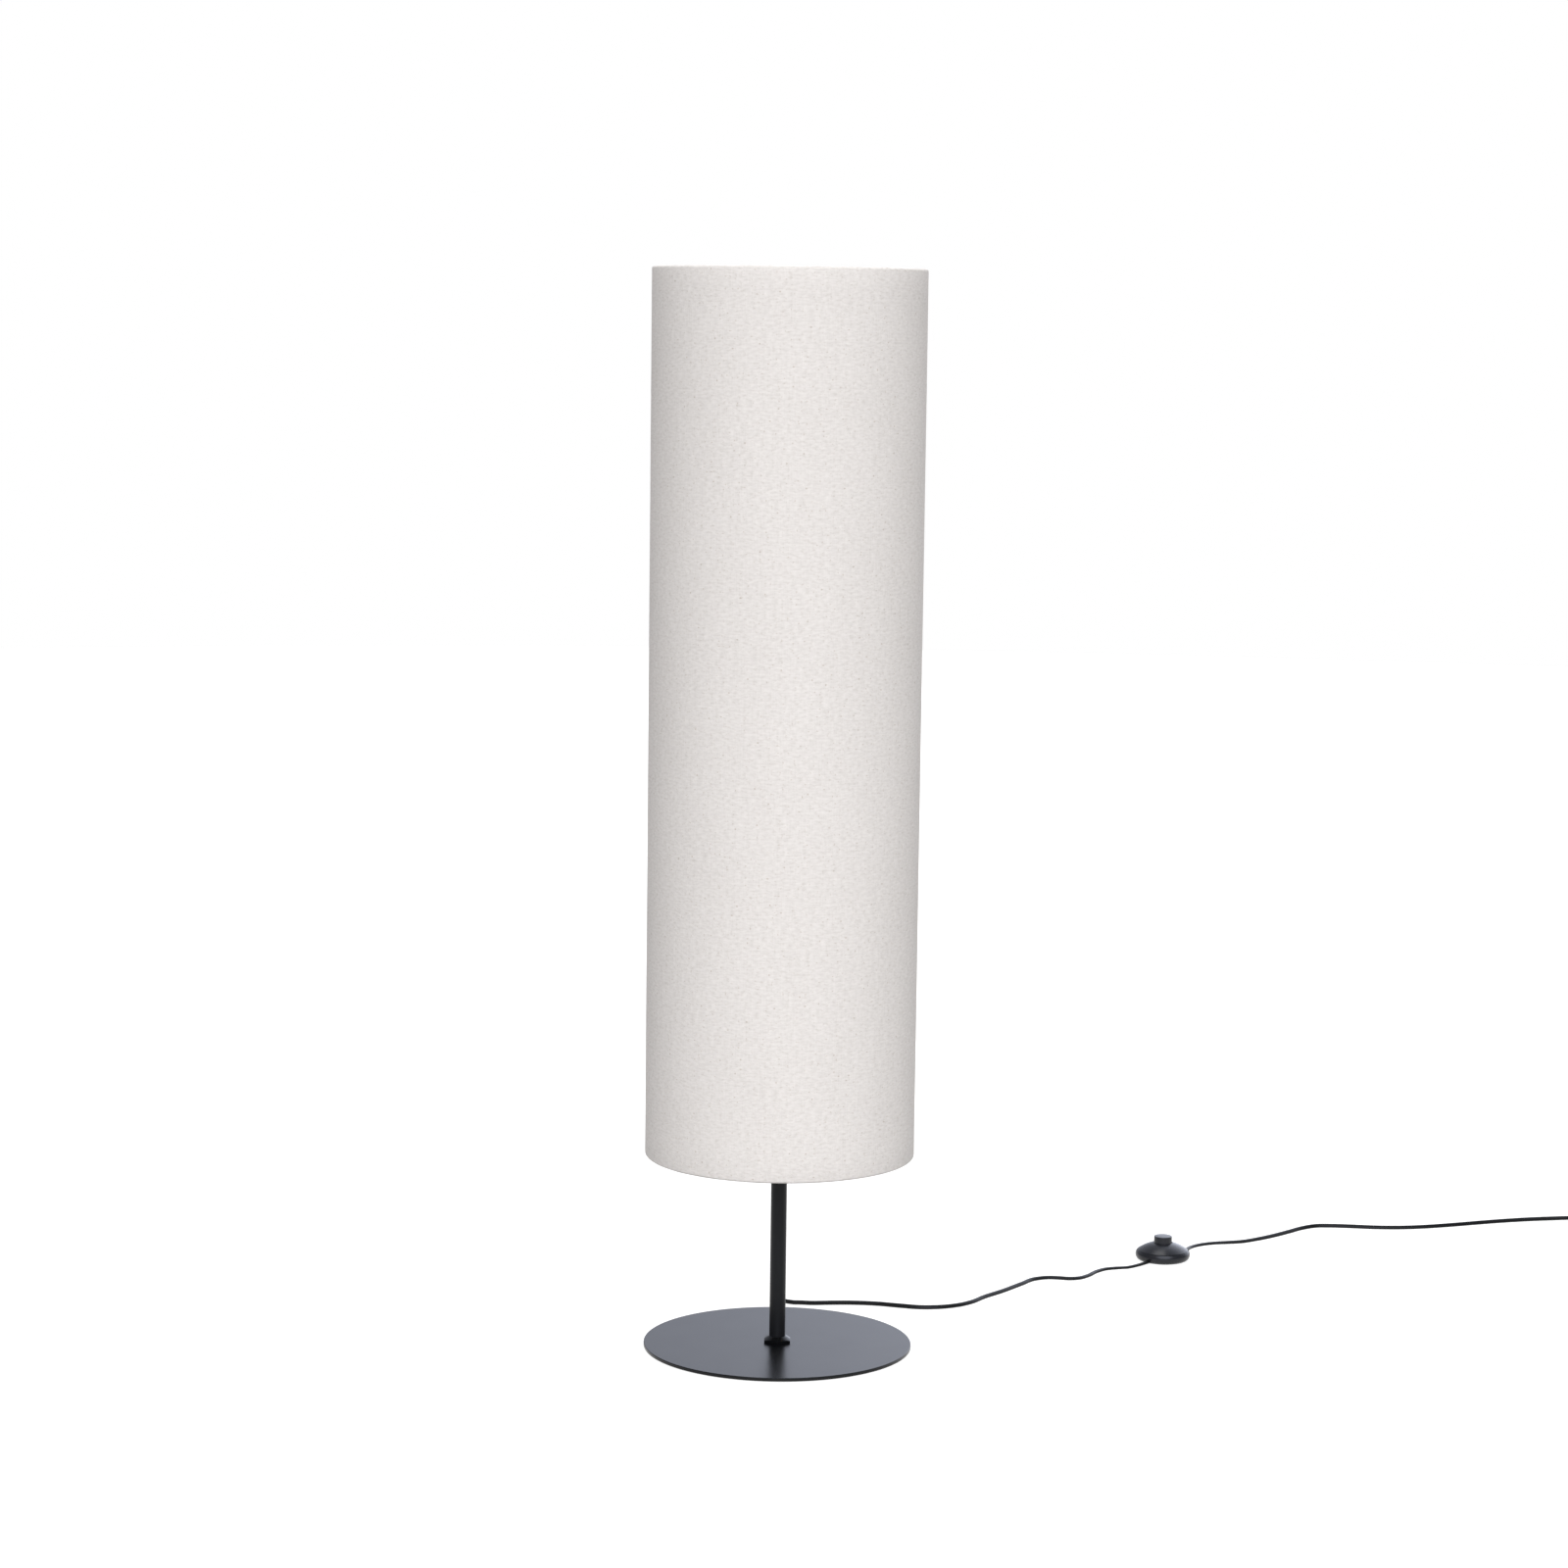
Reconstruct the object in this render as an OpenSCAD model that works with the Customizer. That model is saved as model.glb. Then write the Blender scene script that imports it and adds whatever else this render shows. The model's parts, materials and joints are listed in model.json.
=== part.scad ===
// Column floor lamp. A tall drum shade of linen hangs from the top of a slim steel
// pole, which stands on a round steel base. Two lamp holders sit on side arms inside
// the shade. A flat cord leaves the foot of the pole, passes a foot switch and ends
// in a small coil and a plug.
// Millimetres, +Z up. The origin is the centre of the underside, on the floor, and
// -Y is the side that faces the viewer.

/* [Base] */
// Diameter of the steel base plate
base_d = 300; // [260:5:360]
// Thickness of the base plate
base_t = 4; // [4:0.5:8]
// Radius of the rounded edges of the plate's rim
base_edge_r = 0.8; // [0.2:0.1:1.5]
// Thickness of the soft pad under the plate
pad_t = 1; // [0.6:0.2:3]
// Distance from the plate's rim to the pad's rim
pad_inset = 12; // [4:1:30]
// Diameter of the hole in the middle of the pad
pad_hole_d = 50; // [30:2:80]
// Thread diameter of the countersunk screw that holds the pole
base_screw_d = 8; // [6:1:10]
// Head diameter of that screw
base_screw_head_d = 15; // [12:0.5:17]
// Length of that screw, head included
base_screw_l = 20; // [14:1:22]

/* [Pole] */
// Outside diameter of the pole tube
pole_d = 18; // [17:0.5:24]
// Wall of the pole tube
pole_wall = 1; // [0.8:0.1:1.4]
// Width across the flats of the hexagonal foot
foot_af = 29; // [26:1:40]
// Height of the hexagonal foot
foot_h = 7; // [6:0.5:12]
// Height of the foot's spigot inside the tube
spigot_h = 14; // [10:1:16]
// Length of the lower tube
lower_tube_l = 570; // [480:10:640]
// Length of the threaded bushes in the tube ends
bush_l = 18; // [12:1:25]
// Diameter of the nipple that joins the two tubes
joint_nipple_d = 12; // [11:0.5:13]
// Length of that nipple
joint_nipple_l = 30; // [20:2:34]
// Diameter of the nipple that holds the shade
top_nipple_d = 10; // [8:0.5:11]
// Bore of the nipples, for the wires
nipple_bore = 7; // [6.8:0.1:7.4]
// Diameter of the flange that the shade's hub rests on
top_flange_d = 24; // [20:1:30]
// Thickness of that flange
top_flange_t = 2; // [1.5:0.5:4]

/* [Shade] */
// Outside diameter of the shade
shade_d = 300; // [260:5:380]
// Height of the shade
shade_h = 980; // [900:10:1100]
// Height of the shade's lower edge above the floor
shade_gap = 220; // [180:10:300]
// Thickness of the linen cover
linen_t = 0.6; // [0.4:0.1:1]
// Thickness of the plastic liner that the linen is glued to
liner_t = 0.4; // [0.3:0.1:0.8]
// Wire diameter of the shade's rings
ring_wire_d = 3.4; // [2.6:0.2:4]
// Height of the linen that is turned in over a ring
hem_h = 8; // [5:1:15]
// Depth of the hub below the shade's top edge
spider_drop = 30; // [20:2:50]
// Number of arms from the top ring to the hub
spider_arms = 3; // [3:1:4]
// Diameter of the hub
hub_d = 36; // [34:1:50]
// Thickness of the hub
hub_t = 2; // [1.5:0.5:4]
// Diameter of the round nut on top of the hub
shade_nut_d = 20; // [16:1:28]
// Height of that nut
shade_nut_h = 13; // [11:1:20]

/* [Lamp holders] */
// Height of the lower holder's arm above the shade's lower edge
lower_holder_up = 200; // [160:10:210]
// Depth of the upper holder's arm below the shade's top edge
upper_holder_down = 340; // [300:10:360]
// Distance of a holder's axis from the pole's axis
holder_reach = 45; // [42:1:60]
// Outside diameter of a lamp holder
holder_d = 39; // [38:0.5:44]
// Height of a holder's cap
holder_cap_h = 22; // [20:1:26]
// Height of a holder's threaded shell
holder_shell_h = 34; // [30:1:38]
// Diameter of the thread of the bulb's cap
bulb_thread_d = 26; // [25.5:0.1:26.2]
// Diameter of a bulb
bulb_d = 60; // [50:1:64]
// Length of a bulb
bulb_l = 110; // [104:1:125]

/* [Cord] */
// Broad side of the flat cord
cord_w = 5.2; // [4.6:0.1:5.4]
// Narrow side of the flat cord
cord_t = 3; // [2.6:0.1:3.2]
// Diameter of an insulated wire inside the cord
core_d = 2.2; // [1.8:0.1:2.4]
// Height at which the cord leaves the pole
cord_exit_z = 36; // [36:1:50]
// Diameter of the hole in the pole for the cord's bushing
cord_hole_d = 10; // [9.5:0.1:10.5]
// Length of the bushing's tapered sleeve
bushing_l = 21; // [20:1:22]

/* [Foot switch] */
// Diameter of the foot switch
switch_d = 67; // [65:1:80]
// Height of the switch's housing
switch_h = 21.5; // [20:0.5:24]
// Radius of the housing's rounded side
switch_side_r = 7; // [6.5:0.1:8]
// Wall of the housing
switch_wall = 2; // [1.8:0.1:2.4]
// Diameter of the push button
button_d = 22; // [20:0.5:26]
// Height of the button above the housing
button_up = 8; // [6:0.5:10]
// Travel of the button
button_travel = 4; // [2:0.5:4]
// Gap between the button and its hole
button_gap = 0.25; // [0.2:0.05:0.4]
// Wire diameter of the return spring
spring_wire_d = 0.8; // [0.6:0.1:1]
// Diameter of the return spring at the middle of its wire
spring_d = 8.4; // [8:0.2:9]
// Turns of the return spring
spring_turns = 5; // [4:1:6]

/* [Coil and plug] */
// Diameter of the coil at the middle of its turns
coil_mid_d = 57; // [52:1:62]
// Turns of cord in the coil
coil_turns = 3.25; // [2.25:1:5.25]
// Distance between neighbouring turns of one layer
coil_pitch = 3.6; // [3.5:0.1:5]
// Distance between the coil's two layers
coil_layer = 5.8; // [5.7:0.1:7]
// Thickness of the tie round the coil
tie_t = 0.8; // [0.6:0.1:1.5]
// Width of the tie
tie_w = 5; // [3:0.5:8]
// Length of the moulded sleeve behind the plug
plug_sleeve_l = 28; // [20:1:40]
// Width of the plug at its pins
plug_w = 35; // [30:1:38]
// Thickness of the plug
plug_h = 13.6; // [12.6:0.2:16]
// Length of the plug's body
plug_l = 42; // [36:1:50]
// Diameter of a plug pin
pin_d = 4; // [3.8:0.1:5]
// Length of a plug pin outside the body
pin_l = 19; // [17:0.5:20]
// Distance between the two pins
pin_gap = 19; // [17:0.5:20]

/* [Hidden] */
// Clearance of pieces that are pushed or screwed together, on the radius
fit = 0.05;
// Sides of the large round pieces and of the small ones
fine = 180;
small = 48;

// Heights of the base and the pole
plate_top = pad_t + base_t;
tube_z = plate_top + foot_h;
joint_z = tube_z + lower_tube_l;
shade_top = shade_gap + shade_h;
hub_z = shade_top - spider_drop;
tube_top = hub_z - top_flange_t;
pole_id = pole_d - 2 * pole_wall;
washer_t = 1.5;
shade_washer_d = 28;
nut_roof = 3;
nut_dome = 4;
hub_hole_d = top_nipple_d + 0.4;
joint_nipple_bore = joint_nipple_d - 3.5;

// The shade's edge: linen, liner and ring wire between two layers of linen
shade_r = shade_d / 2;
wire_gap = 0.15;
fold_w = 2 * linen_t + liner_t + ring_wire_d + 2 * wire_gap;
fold_r = fold_w / 2;
ring_r = shade_r - linen_t - liner_t - wire_gap - ring_wire_d / 2;
arm_wire_d = ring_wire_d - 0.4;
arm_wire_gap = 0.3;

// Lamp holders, measured from the top face of an arm's pad
lower_holder_z = shade_gap + lower_holder_up;
upper_holder_z = shade_top - upper_holder_down;
arm_t = 2.5;
arm_w = 16;
pad_r = 11;
collar_wall = 3.5;
collar_h = 16;
grub_d = 4;
nut_t = 3;
nut_af = 14;
nipple_down = arm_t + nut_t + 1;
nipple_up = 8;
holder_wall = 2;
core_seat = 13;
core_up = 4;
shell_bore_r = bulb_thread_d / 2 + 0.9;
contact_t = 1.2;
bulb_base = holder_cap_h + core_up + contact_t;
bulb_cap_l = 25;
globe_wall = 1.2;
globe_rim_r = 0.44 * bulb_d;
globe_rim_z = bulb_l - 0.62 * bulb_d;
wire_drop = 12.5;
wire_step = 3;
bend_r = 5;
core_x = 1.25;
wire_hole_d = 9;
grommet_bore = 7.4;
grommet_lip = 1.2;
grommet_depth = 2.4;

// The cord's bushing: the collar outside the pole and the slot for the cord
bushing_collar_t = 2;
bushing_collar_d = 13;
bushing_tip_d = 7.2;
slot_gap = 0.1;
bushing_face = pole_d / 2 + bushing_collar_t;
bushing_tip = bushing_face + bushing_l - bushing_collar_t;
cord_start = pole_d / 2 - 1;

// The foot switch and the places inside it, in its own frame with X along the cord
switch_x = 473.5;
switch_y = 417.5;
switch_turn = 52;
switch_side_x = switch_d / 2 - switch_side_r;
seam_angle = 48;
seam_edge = 4;
seam_depth = 0.5;
crown_angle = 56;
dome_bow = 1.7;
entry_z = 2.85;
entry_x = switch_d / 2 + 2;
cord_end_x = 17;
cord_slot = 0.15;
screw_y = 20;
pillar_h = 6;
pillar_d = 9;
boss_d = 7;
boss_hole_l = 8;
switch_screw_d = 2.8;
screw_gap = 0.2;
screw_head_d = 5.6;
screw_head_t = 1.8;
screw_sunk = 1;
carrier_z = 8.8;
carrier_t = 2;
carrier_r = 12.6;
seat_r = 3;
contact_pin_d = 3;
terminal_x = 8.5;
terminal_size = 6;
hole_r = button_d / 2 + button_gap;
flange_top = switch_h - switch_wall - 0.1;
flange_t = 1.6;
flange_r = button_d / 2 + 2.1;
button_wall = 2;
button_top = switch_h + button_up;
contact_ring_t = 0.8;
pin_top = flange_top - flange_t - contact_ring_t - button_travel - 0.3;
spring_z = carrier_z + carrier_t;
spring_end = button_top - button_wall;

// The coil, its tie and the plug that lies beside it
coil_x = 1065;
coil_y = 620;
coil_lead = 6;
coil_steps = 24;
coil_in_r = coil_mid_d / 2 - coil_pitch * coil_turns / 4;
coil_out_r = coil_in_r + coil_pitch * coil_turns / 2;
coil_z = tie_t + 0.2 + cord_w / 2;
coil_gap = 0.4;
tie_angle = 215;
plug_x = coil_x + coil_out_r;
plug_z = plug_h / 2;
plug_tip_y = coil_y - 56;
plug_back_y = plug_tip_y - plug_sleeve_l;
plug_front_y = plug_back_y - plug_l;
plug_tail_w = 14;
sleeve_tip_d = 7;
sleeve_d = 10.6;
pin_hold = 8;

// The cord from the pole to the switch. Each point is [x, y, height of the cord's
// underside, turn of its broad side from level]. It sags from the bushing onto the
// plate, goes over the rim behind the pole and bends to the right on the floor.
to_switch = [
    [0, 44, 34, 0], [0, 60, 30.5, 0], [0, 76, 25, 0], [0, 92, 18.8, 0],
    [0, 108, 13, 5], [0, 122, 8.8, 15], [0, 136, 6.6, 35], [0, 148, 6.2, 58],
    [0.5, 158, 6, 76], [2, 166, 5.3, 84], [6, 173, 3.6, 90], [12, 177.5, 1.4, 90],
    [20, 179.5, 0, 90], [40.5, 178, 0, 90], [64, 180.5, 0, 90], [90, 181.5, 0, 90],
    [116, 178.5, 0, 90], [142, 171, 0, 80], [166, 165.5, 0, 60], [190, 168.5, 0, 45],
    [211.5, 178.5, 0, 40], [227, 192.5, 0, 38], [243, 216.5, 0, 36], [267.5, 247, 0, 34],
    [291.5, 281, 0, 32], [310, 306, 0, 30], [326, 313, 0, 28], [338.5, 312, 0, 26],
    [351.5, 309.5, 0, 24], [362, 312.5, 0, 20], [374.5, 325.5, 0, 16], [386.5, 346, 0, 12],
    [399, 359.5, 0, 8], [413, 365.5, 0, 4], [425.5, 369, 0, 0], [438, 377, 0.6, 0]
];

// The cord from the switch to the coil, past the right edge of the view
to_coil = [
    [506.5, 458, 0.8, 0], [513, 472.5, 0, 4], [526.5, 487, 0, 8], [546.5, 497, 0, 12],
    [562.5, 500.5, 0, 18], [580, 505, 0, 24], [601.5, 518.5, 0, 30], [626.5, 539, 0, 38],
    [648, 560, 0, 46], [667.5, 580, 0, 50], [687, 592.5, 0, 52], [708, 594, 0, 52],
    [730, 592.5, 0, 50], [758, 589, 0, 48], [790, 589, 0, 46], [824, 595, 0, 46],
    [858, 605.5, 0, 50], [892, 618, 0, 55], [926, 630, 0, 60], [960, 640, 0, 70],
    [992, 647, 0, 80], [1020, 650.5, 0.4, 90]
];

// Points of an arc in a profile, from angle a0 to a1
function arc(x, y, r, a0, a1, n = 6) = [
    for (i = [0:n])
        let (a = a0 + (a1 - a0) * i / n)
        [x + r * cos(a), y + r * sin(a)]
];

// Points of a curve from a to c that bends towards b
function curve(a, b, c, n = 6) = [
    for (i = [0:n])
        let (s = i / n)
        a * (1 - s) * (1 - s) + b * 2 * s * (1 - s) + c * s * s
];

function unit(v) = v / norm(v);

// Direction of a path at its point i
function heading(p, i) =
    i == 0 ? unit(p[1] - p[0]) :
    i == len(p) - 1 ? unit(p[i] - p[i - 1]) :
    unit(unit(p[i + 1] - p[i]) + unit(p[i] - p[i - 1]));

// A path of straight runs whose square corners are rounded to the radius r
function rounded(p, r, n = 5) = [
    p[0],
    for (i = [1:len(p) - 2], k = [0:n])
        let (back = unit(p[i - 1] - p[i]), ahead = unit(p[i + 1] - p[i]), a = 90 * k / n)
        p[i] + r * back * (1 - sin(a)) + r * ahead * (1 - cos(a)),
    p[len(p) - 1]
];

// A tube along a path, w by t through its section. Its broad side is turned by
// rolls[i] from the level, where up says which way is up.
module tube(path, w, t, rolls, sides, up = [0, 0, 1]) {
    points = [
        for (i = [0:len(path) - 1])
            let (
                ahead = heading(path, i),
                level = unit(cross(up, ahead)),
                broad = cos(rolls[i]) * level + sin(rolls[i]) * cross(ahead, level),
                thin = cross(ahead, broad)
            )
            for (k = [0:sides - 1])
                let (a = 360 * k / sides)
                path[i] + w / 2 * cos(a) * broad + t / 2 * sin(a) * thin
    ];
    last = (len(path) - 1) * sides;
    sides_faces = [
        for (i = [0:len(path) - 2], k = [0:sides - 1])
            let (
                a = i * sides + k,
                b = i * sides + (k + 1) % sides,
                c = b + sides,
                d = a + sides
            )
            for (f = [[a, c, b], [a, d, c]]) f
    ];
    start_cap = [for (k = [1:sides - 2]) [0, k, k + 1]];
    end_cap = [for (k = [1:sides - 2]) [last, last + k + 1, last + k]];
    polyhedron(points, concat(sides_faces, start_cap, end_cap), convexity = 10);
}

// Half the height of the flat cord when its broad side is turned by roll
function half_height(roll) = norm([cord_w / 2 * sin(roll), cord_t / 2 * cos(roll)]);

// Centre of the cord at a point of one of the routes
function on_route(q) = [q[0], q[1], q[2] + half_height(q[3])];

// A point in the switch's own frame
function in_switch(x, y, z) = [
    switch_x + x * cos(switch_turn) - y * sin(switch_turn),
    switch_y + x * sin(switch_turn) + y * cos(switch_turn),
    z
];

// A point of the coil after t turns: it winds in on the floor, climbs to the second
// layer in the half turn where it reverses, and winds out again
function coil_point(t) =
    let (
        a = 90 - 360 * t,
        s = t - coil_turns / 2,
        r = coil_in_r + coil_pitch * abs(s),
        u = min(1, max(0, 2 * s + 0.5))
    )
    [coil_x + r * cos(a), coil_y + r * sin(a), coil_z + coil_layer * u * u * (3 - 2 * u)];

coil_count = coil_steps * coil_turns;
coil_turn_points = [for (i = [0:coil_count]) coil_point(i / coil_steps)];
coil_start = coil_turn_points[0] - [coil_lead, 0, 0];
coil_end = coil_turn_points[coil_count] - [0, coil_lead, 0];

// Least gap between turns that lie half a turn or more apart
function coil_least_gap() = min([
    for (i = [0:coil_count], j = [i + coil_steps / 2:1:coil_count])
        let (
            d = coil_turn_points[j] - coil_turn_points[i],
            dz = max(0, abs(d[2]) - (cord_w - cord_t))
        )
        norm([d[0], d[1], dz]) - cord_t
]);

// ---- Base ----

module base_plate() {
    r = base_d / 2;
    e = base_edge_r;
    countersink = (base_screw_head_d - base_screw_d) / 2;
    color("#202226")
    translate([0, 0, pad_t])
    difference() {
        rotate_extrude($fn = fine)
            polygon(concat(
                [[0, 0]],
                arc(r - e, e, e, -90, 0),
                arc(r - e, base_t - e, e, 0, 90),
                [[0, base_t]]
            ));
        translate([0, 0, -1])
            cylinder(d = base_screw_d + 2 * fit, h = base_t + 2, $fn = small);
        cylinder(d1 = base_screw_head_d, d2 = base_screw_d, h = countersink, $fn = small);
    }
}

module base_pad() {
    color("#2b2b2d")
    difference() {
        cylinder(d = base_d - 2 * pad_inset, h = pad_t, $fn = fine);
        translate([0, 0, -1])
            cylinder(d = pad_hole_d, h = pad_t + 2, $fn = small);
    }
}

module base_screw() {
    head_h = (base_screw_head_d - base_screw_d) / 2;
    socket = base_screw_d * 0.7;
    color("#8d9096")
    translate([0, 0, pad_t])
    difference() {
        union() {
            cylinder(
                d1 = base_screw_head_d - 2 * fit, d2 = base_screw_d - 2 * fit,
                h = head_h, $fn = small
            );
            cylinder(d = base_screw_d - 2 * fit, h = base_screw_l, $fn = small);
        }
        translate([0, 0, -1])
            cylinder(d = socket, h = 1 + head_h * 0.8, $fn = 6);
    }
}

// ---- Pole ----

module pole_foot() {
    corner_r = foot_af / sqrt(3);
    top_r = pole_d / 2 + 0.6;
    slope = tan(32);
    color("#17181a")
    translate([0, 0, plate_top])
    difference() {
        union() {
            intersection() {
                rotate(90)
                    cylinder(r = corner_r, h = foot_h, $fn = 6);
                rotate_extrude($fn = small)
                    polygon([
                        [0, 0], [corner_r, 0], [corner_r, foot_h - (corner_r - top_r) * slope],
                        [top_r, foot_h], [0, foot_h]
                    ]);
            }
            cylinder(d = pole_id - 2 * fit, h = foot_h + spigot_h, $fn = small);
        }
        translate([0, 0, -1])
            cylinder(d = base_screw_d, h = base_screw_l - base_t + 2, $fn = small);
    }
}

module pole_tube(z, l) {
    color("#17181a")
    translate([0, 0, z])
    difference() {
        cylinder(d = pole_d, h = l, $fn = 72);
        translate([0, 0, -1])
            cylinder(d = pole_id, h = l + 2, $fn = 72);
    }
}

// A hole through one side of the pole, at height z, towards +Y or turned by turn
module side_hole(z, d, turn = 0) {
    translate([0, 0, z])
    rotate(turn)
    rotate([-90, 0, 0])
        cylinder(d = d, h = pole_d, $fn = small);
}

module lower_tube() {
    difference() {
        pole_tube(tube_z, lower_tube_l);
        side_hole(cord_exit_z, cord_hole_d);
        side_hole(lower_holder_z - wire_drop, wire_hole_d);
    }
}

module upper_tube() {
    difference() {
        pole_tube(joint_z, tube_top - joint_z);
        side_hole(upper_holder_z - wire_drop, wire_hole_d, 180);
    }
}

// A threaded bush in the end of a tube
module bush(z, thread_d) {
    color("#b9a06a")
    translate([0, 0, z])
    difference() {
        cylinder(d = pole_id - 2 * fit, h = bush_l, $fn = small);
        translate([0, 0, -1])
            cylinder(d = thread_d, h = bush_l + 2, $fn = small);
    }
}

// A hollow threaded nipple
module nipple(z, d, l, bore) {
    color("#c2a864")
    translate([0, 0, z])
    difference() {
        cylinder(d = d - 2 * fit, h = l, $fn = small);
        translate([0, 0, -1])
            cylinder(d = bore, h = l + 2, $fn = small);
    }
}

module lower_bush() {
    bush(joint_z - bush_l, joint_nipple_d);
}

module upper_bush() {
    bush(joint_z, joint_nipple_d);
}

module joint_nipple() {
    nipple(joint_z - joint_nipple_l / 2, joint_nipple_d, joint_nipple_l, joint_nipple_bore);
}

module top_bush() {
    color("#17181a")
    difference() {
        union() {
            translate([0, 0, tube_top - bush_l])
                cylinder(d = pole_id - 2 * fit, h = bush_l + top_flange_t, $fn = small);
            translate([0, 0, tube_top])
                cylinder(d = top_flange_d, h = top_flange_t, $fn = small);
        }
        translate([0, 0, tube_top - bush_l - 1])
            cylinder(d = top_nipple_d, h = bush_l + top_flange_t + 2, $fn = small);
    }
}

module top_nipple() {
    below = bush_l - 4;
    above = hub_t + washer_t + shade_nut_h - nut_roof - 1;
    nipple(hub_z - below, top_nipple_d, below + above, top_nipple_d - 3);
}

module shade_washer() {
    color("#9a9da2")
    translate([0, 0, hub_z + hub_t])
    difference() {
        cylinder(d = shade_washer_d, h = washer_t, $fn = small);
        translate([0, 0, -1])
            cylinder(d = hub_hole_d, h = washer_t + 2, $fn = small);
    }
}

// A round cap nut with a domed top
module shade_nut() {
    r = shade_nut_d / 2;
    e = 0.6;
    color("#17181a")
    translate([0, 0, hub_z + hub_t + washer_t])
    difference() {
        rotate_extrude($fn = small)
            polygon(concat(
                [[0, 0], [r - e, 0], [r, e]],
                curve([r, shade_nut_h - nut_dome], [r, shade_nut_h], [0, shade_nut_h])
            ));
        translate([0, 0, -1])
            cylinder(d = top_nipple_d, h = shade_nut_h - nut_roof + 1, $fn = small);
    }
}

// ---- Wiring inside the lamp ----

// The rubber bushing that grips the cord where it leaves the pole. It has a neck in
// the hole, a collar outside and a tapered sleeve.
module cord_bushing() {
    neck_y = pole_d / 2 - 3;
    color("#1b1b1d")
    translate([0, 0, cord_exit_z])
    difference() {
        rotate([-90, 0, 0])
        rotate_extrude($fn = small)
            polygon([
                [0, neck_y], [cord_hole_d / 2 - fit, neck_y],
                [cord_hole_d / 2 - fit, pole_d / 2], [bushing_collar_d / 2, pole_d / 2],
                [bushing_collar_d / 2, bushing_face], [cord_hole_d / 2, bushing_face],
                [bushing_tip_d / 2, bushing_tip], [0, bushing_tip]
            ]);
        translate([0, pole_d, 0])
            cube([cord_w + 2 * slot_gap, 3 * pole_d, cord_t + 2 * slot_gap], center = true);
    }
}

// Height of the wires that pass from the pole to a holder, below its arm
function wire_z(holder_z, step) = holder_z - wire_drop + step * wire_step / 2;

// The pair of wires from the cord's end up to the lower holder
module lower_leads() {
    y = 2;
    z = wire_z(lower_holder_z, -1);
    color("#6b4a2f")
    for (x = [-core_x, core_x]) {
        run = rounded([
            [x, cord_start, cord_exit_z], [x, y, cord_exit_z], [x, y, z],
            [x, holder_reach + core_x, z], [x, holder_reach + core_x, lower_holder_z + core_seat]
        ], bend_r);
        tube(run, core_d, core_d, [for (q = run) 0], 8, [1, 0, 0]);
    }
}

// The pair of wires from the lower holder back into the pole and up to the other one
module upper_leads() {
    y = -2;
    z = wire_z(lower_holder_z, 1);
    far_z = upper_holder_z - wire_drop;
    color("#6b4a2f")
    for (x = [-core_x, core_x]) {
        run = rounded([
            [x, holder_reach - core_x, lower_holder_z + core_seat], [x, holder_reach - core_x, z],
            [x, y, z], [x, y, far_z], [x, -holder_reach, far_z],
            [x, -holder_reach, upper_holder_z + core_seat]
        ], bend_r);
        tube(run, core_d, core_d, [for (q = run) 0], 8, [1, 0, 0]);
    }
}

// A rubber ring in each hole where the wires leave the pole
module wire_grommets() {
    lip_y = pole_d / 2;
    color("#242426")
    for (place = [[lower_holder_z, 0], [upper_holder_z, 180]])
        translate([0, 0, place[0] - wire_drop])
        rotate(place[1])
        rotate([-90, 0, 0])
        rotate_extrude($fn = small)
            polygon([
                [grommet_bore / 2, lip_y - grommet_depth],
                [wire_hole_d / 2 - fit, lip_y - grommet_depth],
                [wire_hole_d / 2 - fit, lip_y], [wire_hole_d / 2 + grommet_lip, lip_y],
                [wire_hole_d / 2 + grommet_lip, lip_y + grommet_lip],
                [grommet_bore / 2, lip_y + grommet_lip]
            ]);
}

// ---- Lamp holders ----

// Places a piece at the lower holder, whose arm points to +Y, or at the upper one
module at_holder(upper) {
    translate([0, 0, upper ? upper_holder_z : lower_holder_z])
    rotate(upper ? 180 : 0)
        children();
}

// The steel arm: a collar round the pole and a flat pad with a hole for the nipple
module holder_arm(upper) {
    color("#1e1f22")
    at_holder(upper)
    difference() {
        union() {
            translate([0, 0, -arm_t])
                cylinder(d = pole_d + 2 * collar_wall, h = collar_h, $fn = small);
            translate([-arm_w / 2, 0, -arm_t])
                cube([arm_w, holder_reach, arm_t]);
            translate([0, holder_reach, -arm_t])
                cylinder(r = pad_r, h = arm_t, $fn = small);
        }
        translate([0, 0, -arm_t - 1])
            cylinder(d = pole_d + 2 * fit, h = collar_h + 2, $fn = 72);
        translate([0, holder_reach, -arm_t - 1])
            cylinder(d = top_nipple_d + 0.2, h = arm_t + 2, $fn = small);
        translate([0, 0, collar_h / 2])
        rotate([90, 0, 0])
            cylinder(d = grub_d, h = pole_d, $fn = 24);
    }
}

module lower_arm() {
    holder_arm(false);
}

module upper_arm() {
    holder_arm(true);
}

// A grub screw in each collar, against the pole
module arm_screws() {
    length = collar_wall + 1;
    color("#9a9da2")
    for (upper = [false, true])
        at_holder(upper)
        translate([0, -pole_d / 2, collar_h / 2])
        rotate([90, 0, 0])
        difference() {
            cylinder(d = grub_d - 2 * fit, h = length, $fn = 24);
            translate([0, 0, length - 1.6])
                cylinder(d = grub_d / 2, h = 2, $fn = 6);
        }
}

module holder_nipples() {
    for (upper = [false, true])
        at_holder(upper)
        translate([0, holder_reach, 0])
            nipple(-nipple_down, top_nipple_d, nipple_down + nipple_up, nipple_bore);
}

module holder_nuts() {
    color("#9a9da2")
    for (upper = [false, true])
        at_holder(upper)
        translate([0, holder_reach, -arm_t - nut_t])
        difference() {
            cylinder(r = nut_af / sqrt(3), h = nut_t, $fn = 6);
            translate([0, 0, -1])
                cylinder(d = top_nipple_d, h = nut_t + 2, $fn = small);
        }
}

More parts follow.
